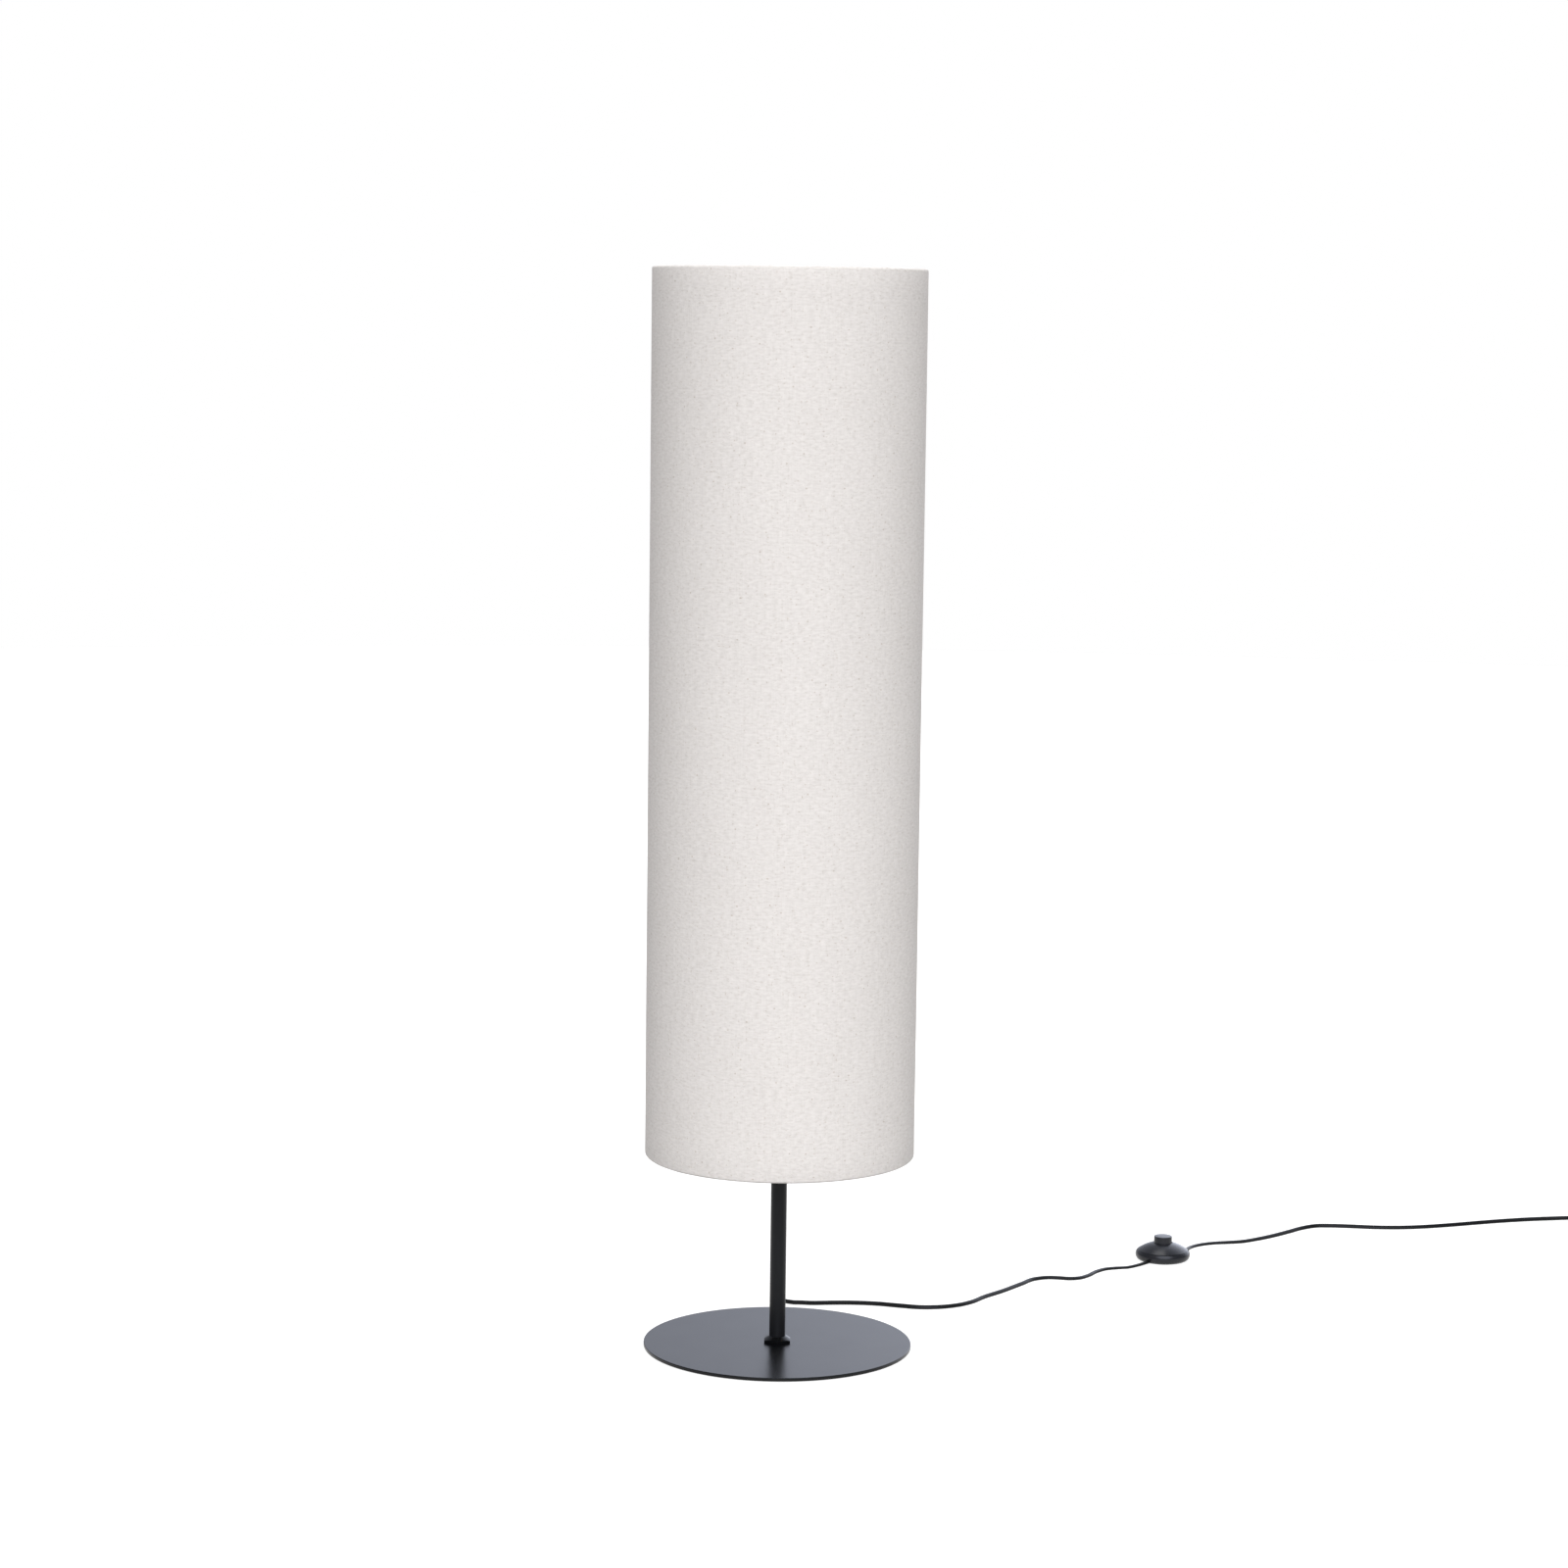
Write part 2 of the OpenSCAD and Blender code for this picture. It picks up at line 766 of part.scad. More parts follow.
// The plastic cap that stands on the arm and holds the ceramic core
module holder_cap(upper) {
    r = holder_d / 2;
    floor_t = 3;
    foot_r = r - 5.5;
    side_z = 10;
    color("#1c1c1e")
    at_holder(upper)
    translate([0, holder_reach, 0])
    difference() {
        rotate_extrude($fn = small)
            polygon(concat(
                [[0, 0], [foot_r, 0]],
                curve([foot_r, 0], [r, 2], [r, side_z]),
                [[r, holder_cap_h], [0, holder_cap_h]]
            ));
        translate([0, 0, floor_t])
            cylinder(r = foot_r - 1, h = holder_cap_h, $fn = small);
        translate([0, 0, core_seat])
            cylinder(r = r - holder_wall, h = holder_cap_h, $fn = small);
        translate([0, 0, -1])
            cylinder(d = top_nipple_d, h = floor_t + 2, $fn = small);
    }
}

module lower_holder_cap() {
    holder_cap(false);
}

module upper_holder_cap() {
    holder_cap(true);
}

// The ceramic core that carries the terminals and the contacts
module holder_core(upper) {
    r = holder_d / 2 - holder_wall - 0.2;
    color("#e8e4da")
    at_holder(upper)
    translate([0, holder_reach, core_seat])
        cylinder(r = r, h = holder_cap_h + core_up - core_seat, $fn = small);
}

module lower_holder_core() {
    holder_core(false);
}

module upper_holder_core() {
    holder_core(true);
}

// The brass tongue under the bulb's tip and the side contact of each holder
module holder_contacts() {
    side_r = bulb_thread_d / 2 + 0.3;
    side_w = 3;
    side_t = 0.4;
    side_h = 10;
    color("#c2a864")
    for (upper = [false, true])
        at_holder(upper)
        translate([0, holder_reach, holder_cap_h + core_up]) {
            cylinder(r = 3.5, h = contact_t, $fn = small);
            translate([side_r, -side_w / 2, 0])
                cube([side_t, side_w, side_h]);
        }
}

// The plastic shell that screws onto the cap and takes the bulb
module holder_shell(upper) {
    r = holder_d / 2;
    color("#1c1c1e")
    at_holder(upper)
    translate([0, holder_reach, holder_cap_h])
    rotate_extrude($fn = small)
        polygon([
            [r - holder_wall, 0], [r, 0], [r, holder_shell_h - 1],
            [r - 1, holder_shell_h], [shell_bore_r, holder_shell_h],
            [shell_bore_r, core_up], [r - holder_wall, core_up]
        ]);
}

module lower_holder_shell() {
    holder_shell(false);
}

module upper_holder_shell() {
    holder_shell(true);
}

// The bulb's metal cap with its rolled thread and its tip
module bulb_cap(upper) {
    r = bulb_thread_d / 2;
    pitch = 3.6;
    threads = 5;
    thread_z = 5;
    depth = 0.5;
    tip_r = 4.5;
    color("#c9cbce")
    at_holder(upper)
    translate([0, holder_reach, bulb_base])
    rotate_extrude($fn = small)
        polygon(concat(
            [[0, 0], [tip_r, 0], [tip_r + 0.5, 1.5], [r - 1, thread_z - 1]],
            [
                for (i = [0:threads - 1], k = [0:3])
                    [r - depth + depth * sin(90 * k), thread_z + (i + k / 4) * pitch]
            ],
            [[r - depth, bulb_cap_l], [0, bulb_cap_l]]
        ));
}

module lower_bulb_cap() {
    bulb_cap(false);
}

module upper_bulb_cap() {
    bulb_cap(true);
}

// The white plastic neck that houses the bulb's driver
module bulb_neck(upper) {
    r = bulb_thread_d / 2 + 0.4;
    rim = globe_rim_r;
    top = globe_rim_z;
    clear = holder_cap_h + holder_shell_h - bulb_base + 1;
    color("#f2f2ef")
    at_holder(upper)
    translate([0, holder_reach, bulb_base])
    rotate_extrude($fn = small)
        polygon(concat(
            [[0, bulb_cap_l], [r, bulb_cap_l]],
            curve([r, max(clear, bulb_cap_l + 0.5)], [r + 1, top - 6], [rim, top]),
            [[0, top]]
        ));
}

module lower_bulb_neck() {
    bulb_neck(false);
}

module upper_bulb_neck() {
    bulb_neck(true);
}

// The opal globe, a thin shell closed by the neck
module bulb_globe(upper) {
    r = bulb_d / 2;
    centre_z = bulb_l - r;
    first_a = 6 - asin((centre_z - globe_rim_z) / r);
    color("#f7f5ee")
    at_holder(upper)
    translate([0, holder_reach, bulb_base])
    rotate_extrude($fn = small)
        polygon(concat(
            [[globe_rim_r - globe_wall, globe_rim_z], [globe_rim_r, globe_rim_z]],
            arc(0, centre_z, r, first_a, 90, 16),
            arc(0, centre_z, r - globe_wall, 90, first_a, 16)
        ));
}

module lower_bulb_globe() {
    bulb_globe(false);
}

module upper_bulb_globe() {
    bulb_globe(true);
}

// ---- Shade ----

// The arms of the spider, from the top ring down to the hub
module spider_wires(d) {
    rise = shade_top - fold_r - (hub_z + hub_t / 2);
    run = ring_r - hub_d / 2 + 3;
    for (i = [0:spider_arms - 1])
        rotate(90 + 360 * i / spider_arms)
        translate([ring_r, 0, shade_top - fold_r])
        rotate([0, -90 - atan(rise / run), 0])
            cylinder(d = d, h = norm([rise, run]), $fn = 24);
}

// Profile of the linen at one edge, folded round the ring wire, with the fold at z = 0
// and the wall going up
module fold_profile() {
    x = shade_r - fold_r;
    polygon(concat(
        arc(x, fold_r, fold_r, 0, -180, 12),
        [[x - fold_r, fold_r + hem_h], [x - fold_r + linen_t, fold_r + hem_h]],
        arc(x, fold_r, fold_r - linen_t, -180, 0, 12)
    ));
}

module shade_cover() {
    color("#e6e1d8")
    difference() {
        union() {
            translate([0, 0, shade_gap])
                rotate_extrude($fn = fine)
                    fold_profile();
            translate([0, 0, shade_gap + fold_r])
                rotate_extrude($fn = fine)
                translate([shade_r - linen_t, 0])
                    square([linen_t, shade_h - 2 * fold_r]);
            translate([0, 0, shade_top])
            mirror([0, 0, 1])
                rotate_extrude($fn = fine)
                    fold_profile();
        }
        intersection() {
            spider_wires(arm_wire_d + 2 * arm_wire_gap);
            cylinder(r = shade_r - linen_t - liner_t, h = shade_top, $fn = fine);
        }
    }
}

// The clear film that stiffens the linen, between the two folds
module shade_liner() {
    r = shade_r - linen_t;
    color("#f4f2ec")
    translate([0, 0, shade_gap + fold_r])
    difference() {
        cylinder(r = r, h = shade_h - 2 * fold_r, $fn = fine);
        translate([0, 0, -1])
            cylinder(r = r - liner_t, h = shade_h, $fn = fine);
    }
}

module wire_ring(z) {
    translate([0, 0, z])
    rotate_extrude($fn = fine)
    translate([ring_r, 0])
        circle(d = ring_wire_d, $fn = 24);
}

// The top ring, its arms and the hub, welded into one spider
module top_ring() {
    color("#f0efec")
    difference() {
        union() {
            wire_ring(shade_top - fold_r);
            spider_wires(arm_wire_d);
            translate([0, 0, hub_z])
                cylinder(d = hub_d, h = hub_t, $fn = small);
        }
        translate([0, 0, hub_z - 5])
            cylinder(d = hub_hole_d, h = 30, $fn = small);
        translate([0, 0, hub_z + hub_t])
            cylinder(d = shade_washer_d + 1, h = 20, $fn = small);
        translate([0, 0, hub_z - 20])
            cylinder(d = top_flange_d + 1, h = 20, $fn = small);
    }
}

module bottom_ring() {
    color("#f0efec")
        wire_ring(shade_gap + fold_r);
}

// ---- Foot switch ----

module at_switch() {
    translate([switch_x, switch_y, 0])
    rotate(switch_turn)
        children();
}

// The lower housing: a bowl with two pillars for the screws and a groove for the cord
module switch_base() {
    c = switch_side_x;
    r = switch_side_r;
    groove_w = cord_w + 2 * cord_slot;
    groove_z = entry_z - cord_t / 2 - cord_slot;
    color("#2a2b2f")
    at_switch()
    difference() {
        union() {
            rotate_extrude($fn = fine)
                polygon(concat(
                    [[0, 0]],
                    arc(c, r, r, -90, seam_angle - seam_edge, 12),
                    arc(c, r, r - seam_depth, seam_angle - seam_edge, seam_angle, 1),
                    arc(c, r, r - switch_wall, seam_angle, -90, 12),
                    [[0, switch_wall]]
                ));
            for (y = [-screw_y, screw_y])
                translate([0, y, 0])
                    cylinder(d = pillar_d, h = pillar_h, $fn = small);
        }
        translate([-switch_d, -groove_w / 2, groove_z])
            cube([2 * switch_d, groove_w, cord_t + 2 * cord_slot]);
        for (y = [-screw_y, screw_y])
            translate([0, y, -1]) {
                cylinder(d = switch_screw_d + 2 * screw_gap, h = pillar_h + 2, $fn = 24);
                cylinder(
                    d = screw_head_d + 3 * screw_gap, h = 1 + screw_sunk + screw_head_t,
                    $fn = 24
                );
            }
    }
}

// The upper housing's outside, from the groove along the seam up to the button's hole
function dome_profile() =
    let (
        c = switch_side_x,
        r = switch_side_r,
        groove = arc(c, r, r - seam_depth, seam_angle, seam_angle + seam_edge, 1),
        shoulder = arc(c, r, r, seam_angle + seam_edge, crown_angle, 4),
        crown = shoulder[len(shoulder) - 1],
        top = [hole_r + 1.2, switch_h - 0.2]
    )
    concat(
        groove,
        shoulder,
        curve(crown, (crown + top) / 2 + [0, dome_bow], top),
        [[hole_r + 0.5, switch_h], [hole_r, switch_h - 0.5]]
    );

// The upper housing: a shallow dome with the button's hole and two screw bosses
module switch_cover() {
    inner_r = switch_side_r - switch_wall;
    under = switch_h - switch_wall;
    boss_skin = 0.5;
    color("#2e2f33")
    at_switch()
    difference() {
        union() {
            rotate_extrude($fn = fine)
                polygon(concat(
                    dome_profile(),
                    [[hole_r, under], [flange_r + 1.5, under]],
                    arc(switch_side_x, switch_side_r, inner_r, crown_angle, seam_angle, 4)
                ));
            for (y = [-screw_y, screw_y])
                intersection() {
                    translate([0, y, pillar_h])
                        cylinder(d = boss_d, h = switch_h, $fn = small);
                    translate([0, 0, -boss_skin])
                    rotate_extrude($fn = fine)
                        polygon(concat([[0, 0], [switch_side_x, 0]], dome_profile(), [[0, under]]));
                }
        }
        for (y = [-screw_y, screw_y])
            translate([0, y, pillar_h - 1])
                cylinder(d = switch_screw_d, h = boss_hole_l + 1, $fn = 24);
    }
}

// The push button: a hollow cap with a flange that the cover holds in
module switch_button() {
    r = button_d / 2;
    e = 0.8;
    color("#3a3b40")
    at_switch()
    rotate_extrude($fn = fine)
        polygon(concat(
            [[flange_r, flange_top - flange_t], [flange_r, flange_top], [r, flange_top]],
            arc(r - e, button_top - e, e, 0, 90),
            [[0, button_top], [0, spring_end - 2], [seat_r, spring_end - 2], [seat_r, spring_end]],
            [[r - button_wall, spring_end], [r - button_wall, flange_top - flange_t]]
        ));
}

// The contact ring under the button, which bridges the two pins when it is pressed
module contact_ring() {
    color("#c2a864")
    at_switch()
    translate([0, 0, flange_top - flange_t - contact_ring_t])
    difference() {
        cylinder(r = flange_r - 1, h = contact_ring_t, $fn = small);
        translate([0, 0, -1])
            cylinder(r = spring_d / 2 + 1.6, h = contact_ring_t + 2, $fn = small);
    }
}

// The return spring, one helix between the carrier and the button
module button_spring() {
    steps = 12;
    r = spring_d / 2;
    low = spring_z + spring_wire_d / 2;
    high = spring_end - spring_wire_d / 2;
    run = [
        for (i = [0:spring_turns * steps])
            let (a = 360 * i / steps, s = i / (spring_turns * steps))
            [r * cos(a), r * sin(a), low + (high - low) * s]
    ];
    color("#b8babd")
    at_switch()
        tube(run, spring_wire_d, spring_wire_d, [for (q = run) 0], 6);
}

// The moulded carrier: a table on two legs over the wires, with the spring's seat
module switch_carrier() {
    leg_y = 8.5;
    leg_t = 3;
    leg_w = 8;
    color("#d8d3c4")
    at_switch()
    difference() {
        union() {
            translate([0, 0, carrier_z])
                cylinder(r = carrier_r, h = carrier_t, $fn = small);
            translate([0, 0, carrier_z])
                cylinder(r = seat_r, h = carrier_t + 2.5, $fn = small);
            for (side = [-1, 1])
                translate([-leg_w / 2, side > 0 ? leg_y : -leg_y - leg_t, switch_wall])
                    cube([leg_w, leg_t, carrier_z - switch_wall]);
        }
        for (x = [-terminal_x, terminal_x])
            translate([x, -terminal_size / 2, carrier_z - 1])
                cylinder(d = contact_pin_d + 2 * screw_gap, h = carrier_t + 2, $fn = 24);
    }
}

// A terminal block under each end of the carrier, with its contact pin
module switch_terminals() {
    color("#c2a864")
    at_switch()
    for (x = [-terminal_x, terminal_x]) {
        translate([x - terminal_size / 2, -terminal_size, switch_wall])
            cube([terminal_size, terminal_size, carrier_z - switch_wall]);
        translate([x, -terminal_size / 2, carrier_z - 1])
            cylinder(d = contact_pin_d, h = pin_top - carrier_z + 1, $fn = 24);
    }
}

// The cord's wires inside the switch: one goes through, one ends at the terminals
module switch_cores() {
    inner_x = terminal_x + terminal_size / 2;
    end_x = cord_end_x - fit;
    color("#6b4a2f")
    at_switch() {
        translate([-end_x, core_x, entry_z])
        rotate([0, 90, 0])
            cylinder(d = core_d - 2 * slot_gap, h = 2 * end_x, $fn = 24);
        for (x = [-end_x, inner_x])
            translate([x, -core_x, entry_z])
            rotate([0, 90, 0])
                cylinder(d = core_d - 2 * slot_gap, h = end_x - inner_x, $fn = 24);
    }
}

// Two screws from below, through the pillars into the cover's bosses
module switch_screws() {
    length = pillar_h + boss_hole_l - 2 - screw_sunk;
    color("#9a9da2")
    at_switch()
    for (y = [-screw_y, screw_y])
        translate([0, y, screw_sunk])
        difference() {
            union() {
                cylinder(d = screw_head_d, h = screw_head_t, $fn = 24);
                cylinder(d = switch_screw_d - 2 * fit, h = length, $fn = 24);
            }
            translate([0, 0, -1])
                cylinder(d = 2.4, h = 2, $fn = 6);
        }
}

// A bar over the cord at each end of the housing, which takes the pull
module cord_clamps() {
    clamp_x = 20;
    clamp_l = 4;
    clamp_w = 15;
    clamp_t = 2.6;
    top_z = entry_z + cord_t / 2;
    color("#d8d3c4")
    at_switch()
    for (x = [-clamp_x - clamp_l, clamp_x])
        translate([x, 0, 0])
        difference() {
            translate([0, -clamp_w / 2, switch_wall])
                cube([clamp_l, clamp_w, top_z + clamp_t - switch_wall]);
            translate([-1, -cord_w / 2 - cord_slot, 0])
                cube([clamp_l + 2, cord_w + 2 * cord_slot, top_z + slot_gap]);
        }
}

// ---- Cord ----

// A stretch of the flat cord along a route, with its end points given apart
module flat_cord(first, route, last, first_roll, last_roll) {
    path = concat(first, [for (q = route) on_route(q)], last);
    rolls = concat(
        [for (q = first) first_roll],
        [for (q = route) q[3]],
        [for (q = last) last_roll]
    );
    color("#18181a")
        tube(path, cord_w, cord_t, rolls, 8);
}

module cord_to_switch() {
    flat_cord(
        [[0, cord_start, cord_exit_z], [0, bushing_tip, cord_exit_z]],
        to_switch,
        [in_switch(-entry_x, 0, entry_z), in_switch(-cord_end_x, 0, entry_z)],
        0, 0
    );
}

module cord_to_coil() {
    flat_cord(
        [in_switch(cord_end_x, 0, entry_z), in_switch(entry_x, 0, entry_z)],
        to_coil,
        [coil_start - [2 * cord_w, 0, 0], coil_start],
        0, 90
    );
}

// The coil: one unbroken cord on edge, in two layers
module cord_coil() {
    run = concat([coil_start], coil_turn_points, [coil_end]);
    echo(str("least gap between the coil's turns: ", coil_least_gap(), " mm"));
    assert(coil_least_gap() > coil_gap, "the coil's turns are too close");
    color("#18181a")
        tube(run, cord_w, cord_t, [for (q = run) 90], 6);
}

// The tie, a closed band round the coil's turns
module cord_tie() {
    inner = coil_in_r - cord_t / 2 - 0.4;
    outer = coil_out_r + cord_t / 2 + 0.4;
    top = coil_z + coil_layer + cord_w / 2 + 0.2;
    color("#202022")
    translate([coil_x, coil_y, 0])
    rotate(tie_angle)
    difference() {
        translate([inner - tie_t, -tie_w / 2, 0])
            cube([outer - inner + 2 * tie_t, tie_w, top + tie_t]);
        translate([inner, -tie_w, tie_t])
            cube([outer - inner, 2 * tie_w, top - tie_t]);
    }
}

module cord_to_plug() {
    drop = coil_end[2] - plug_z;
    length = coil_end[1] - plug_tip_y;
    run = [
        coil_end,
        coil_end - [0, length * 0.12, 0],
        coil_end - [0, length * 0.3, drop * 0.2],
        coil_end - [0, length * 0.5, drop * 0.5],
        coil_end - [0, length * 0.7, drop * 0.8],
        coil_end - [0, length * 0.88, drop],
        [plug_x, plug_tip_y, plug_z]
    ];
    color("#18181a")
        tube(run, cord_w, cord_t, [90, 90, 75, 50, 20, 0, 0], 8);
}

// ---- Plug ----

// The tapered sleeve moulded behind the plug
module plug_sleeve() {
    color("#18181a")
    translate([plug_x, plug_tip_y, plug_z])
    rotate([90, 0, 0])
        cylinder(d1 = sleeve_tip_d, d2 = sleeve_d, h = plug_sleeve_l, $fn = small);
}

// The flat body: its outline from above, cut by its outline from the side
module plug_body() {
    half = plug_w / 2;
    tail = plug_tail_w / 2;
    color("#1a1a1c")
    difference() {
        intersection() {
            translate([plug_x, plug_back_y, 0])
                linear_extrude(plug_h)
                    polygon(concat(
                        [[tail, 0]],
                        [[-tail, 0]],
                        curve([-tail, 0], [-tail - 1, -plug_l * 0.45], [-half, -plug_l * 0.6]),
                        [[-half, -plug_l + 2], [-half + 2, -plug_l]],
                        [[half - 2, -plug_l], [half, -plug_l + 2]],
                        curve([half, -plug_l * 0.6], [tail + 1, -plug_l * 0.45], [tail, 0])
                    ));
            translate([plug_x - half, plug_back_y, plug_z])
            rotate([90, 0, 90])
                linear_extrude(plug_w)
                    polygon([
                        [0, -plug_h / 2 + 2], [-4, -plug_h / 2 + 1], [-plug_l * 0.5, -plug_h / 2],
                        [-plug_l + 1, -plug_h / 2], [-plug_l, -plug_h / 2 + 1],
                        [-plug_l, plug_h / 2 - 1], [-plug_l + 1, plug_h / 2],
                        [-plug_l * 0.5, plug_h / 2], [-4, plug_h / 2 - 1], [0, plug_h / 2 - 2]
                    ]);
        }
        for (x = [-pin_gap / 2, pin_gap / 2])
            translate([plug_x + x, plug_front_y - 1, plug_z])
            rotate([-90, 0, 0])
                cylinder(d = pin_d + 2 * fit, h = pin_hold + 1, $fn = small);
    }
}

// The two round pins with rounded ends, held in the body
module plug_pins() {
    r = pin_d / 2;
    color("#c9cbce")
    for (x = [-pin_gap / 2, pin_gap / 2])
        translate([plug_x + x, plug_front_y + pin_hold, plug_z])
        rotate([90, 0, 0])
        rotate_extrude($fn = small)
            polygon(concat(
                [[0, 0], [r, 0]],
                arc(0, pin_hold + pin_l - r, r, 0, 90, 8)
            ));
}

base_plate();
base_pad();
base_screw();
pole_foot();
lower_tube();
lower_bush();
joint_nipple();
upper_bush();
upper_tube();
top_bush();
top_nipple();
shade_washer();
shade_nut();
cord_bushing();
lower_leads();
upper_leads();
wire_grommets();
lower_arm();
upper_arm();
arm_screws();
holder_nipples();
holder_nuts();
lower_holder_cap();
upper_holder_cap();
lower_holder_core();
upper_holder_core();
holder_contacts();
lower_holder_shell();
upper_holder_shell();
lower_bulb_cap();
upper_bulb_cap();
lower_bulb_neck();
upper_bulb_neck();
lower_bulb_globe();
upper_bulb_globe();
shade_cover();
shade_liner();
top_ring();
bottom_ring();
switch_base();
switch_cover();
switch_button();
contact_ring();
button_spring();
switch_carrier();
switch_terminals();
switch_cores();
switch_screws();
cord_clamps();
cord_to_switch();
cord_to_coil();
cord_coil();
cord_tie();
cord_to_plug();
plug_sleeve();
plug_body();
plug_pins();
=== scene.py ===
import json
import math

import bmesh
import bpy
import numpy as np
from mathutils import Matrix, Vector, noise


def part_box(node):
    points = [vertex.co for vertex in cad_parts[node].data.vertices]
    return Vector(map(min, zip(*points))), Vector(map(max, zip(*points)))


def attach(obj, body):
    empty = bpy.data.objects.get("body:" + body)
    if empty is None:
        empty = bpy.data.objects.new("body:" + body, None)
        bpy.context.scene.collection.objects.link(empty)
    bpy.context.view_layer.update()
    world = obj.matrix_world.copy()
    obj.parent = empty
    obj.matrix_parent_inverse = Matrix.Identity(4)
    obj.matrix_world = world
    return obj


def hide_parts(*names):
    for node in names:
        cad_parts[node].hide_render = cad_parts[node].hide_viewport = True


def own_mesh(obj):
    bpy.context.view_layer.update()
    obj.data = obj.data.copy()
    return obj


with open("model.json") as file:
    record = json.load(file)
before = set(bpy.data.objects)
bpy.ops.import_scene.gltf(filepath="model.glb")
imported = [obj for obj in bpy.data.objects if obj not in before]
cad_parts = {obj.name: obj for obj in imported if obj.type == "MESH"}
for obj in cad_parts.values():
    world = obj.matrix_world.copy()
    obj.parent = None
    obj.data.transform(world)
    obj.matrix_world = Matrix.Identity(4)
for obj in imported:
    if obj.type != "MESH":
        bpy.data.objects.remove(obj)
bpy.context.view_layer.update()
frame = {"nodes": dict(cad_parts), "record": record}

NODES = frame["nodes"]
scene = bpy.context.scene


# ---- Camera ----
# It stands at the photograph's place and looks 7 degrees down; its lens and its small
# roll come from the outlines of the shade and the base in the photograph.

CAMERA_PLACE = (0.0, -4.1660, 1.1488)
CAMERA_DOWN = 7.0231
CAMERA_ROLL = 0.7096

camera_data = bpy.data.cameras.new("camera")
camera_data.sensor_width = 36.0
camera_data.lens = 87.39
camera_data.clip_start = 0.1
camera_data.clip_end = 60.0
camera = bpy.data.objects.new("camera", camera_data)
camera.matrix_world = (
    Matrix.Translation(CAMERA_PLACE)
    @ Matrix.Rotation(math.radians(90.0 - CAMERA_DOWN), 4, "X")
    @ Matrix.Rotation(math.radians(CAMERA_ROLL), 4, "Z")
)
scene.collection.objects.link(camera)
scene.camera = camera


# ---- Cord ----
# A flat two-core mains cord with a smooth black sheath, pressed out round its wires. It
# leaves the pole at the rear, lies on the floor in the loose curves of the photograph,
# and its unseen end is wound in a coil with the plug beside it.

MM = 0.001
CORD_W = 5.2
CORD_T = 3.0
CORD_STEP = 2.0
STEEP = 0.02
CORD_EXIT_Y = 9
CORD_EXIT_Z = 36
CORD_START_Y = 8
BUSHING_MIDDLE_Y = 19
BUSHING_TIP_Y = 30
SWITCH_X = 473.5
SWITCH_Y = 417.5
SWITCH_TURN = 52
SWITCH_END = 35.5
CORD_IN_SWITCH = 17
ENTRY_Z = 2.85
COIL_X = 1065
COIL_Y = 620
COIL_TURNS = 3.25
COIL_PITCH = 3.6
COIL_LAYER = 5.8
COIL_MID_D = 57
COIL_LOW_Z = 3.6
COIL_STEPS = 48
COIL_RUN_IN = (16.4, 6)
COIL_RUN_OUT = 6
PLUG_X = 1096.425
PLUG_Z = 6.8
SLEEVE_TIP_Y = 564
CORD_IN_SLEEVE = 10

# The points of the CAD source: x, y, height of the underside, and how far the broad
# side is turned from level, in millimetres and degrees.
TO_SWITCH = [
    (0, 44, 34, 0), (0, 60, 30.5, 0), (0, 76, 25, 0), (0, 92, 18.8, 0),
    (0, 108, 13, 5), (0, 122, 8.8, 15), (0, 136, 6.6, 35), (0, 148, 6.2, 58),
    (0.5, 158, 6, 76), (2, 166, 5.3, 84), (6, 173, 3.6, 90), (12, 177.5, 1.4, 90),
    (20, 179.5, 0, 90), (40.5, 178, 0, 90), (64, 180.5, 0, 90), (90, 181.5, 0, 90),
    (116, 178.5, 0, 90), (142, 171, 0, 80), (166, 165.5, 0, 60), (190, 168.5, 0, 45),
    (211.5, 178.5, 0, 40), (227, 192.5, 0, 38), (243, 216.5, 0, 36), (267.5, 247, 0, 34),
    (291.5, 281, 0, 32), (310, 306, 0, 30), (326, 313, 0, 28), (338.5, 312, 0, 26),
    (351.5, 309.5, 0, 24), (362, 312.5, 0, 20), (374.5, 325.5, 0, 16), (386.5, 346, 0, 12),
    (399, 359.5, 0, 8), (413, 365.5, 0, 4), (425.5, 369, 0, 0), (438, 377, 0.6, 0),
]
TO_COIL = [
    (506.5, 458, 0.8, 0), (513, 472.5, 0, 4), (526.5, 487, 0, 8), (546.5, 497, 0, 12),
    (562.5, 500.5, 0, 18), (580, 505, 0, 24), (601.5, 518.5, 0, 30), (626.5, 539, 0, 38),
    (648, 560, 0, 46), (667.5, 580, 0, 50), (687, 592.5, 0, 52), (708, 594, 0, 52),
    (730, 592.5, 0, 50), (758, 589, 0, 48), (790, 589, 0, 46), (824, 595, 0, 46),
    (858, 605.5, 0, 50), (892, 618, 0, 55), (926, 630, 0, 60), (960, 640, 0, 70),
    (992, 647, 0, 80), (1020, 650.5, 0.4, 90),
]
# From the coil to the plug: shares of the way and of the drop, and the turn in degrees.
TAIL = ((0, 0, 90), (0.12, 0, 90), (0.3, 0.2, 75), (0.5, 0.5, 50), (0.7, 0.8, 20), (0.88, 1, 0))


def cord_half_height(roll):
    """Half the height of the flat cord when its broad side is turned by roll."""
    return (CORD_W - CORD_T) / 2 * abs(math.sin(math.radians(roll))) + CORD_T / 2


def on_floor_route(x, y, under, roll):
    """A point of the cord's middle line, above the height of its underside."""
    return (x, y, under + cord_half_height(roll), roll)


def in_switch(along):
    """A point on the switch's long axis, where the cord enters and leaves it."""
    turn = math.radians(SWITCH_TURN)
    return (SWITCH_X + along * math.cos(turn), SWITCH_Y + along * math.sin(turn), ENTRY_Z, 0)


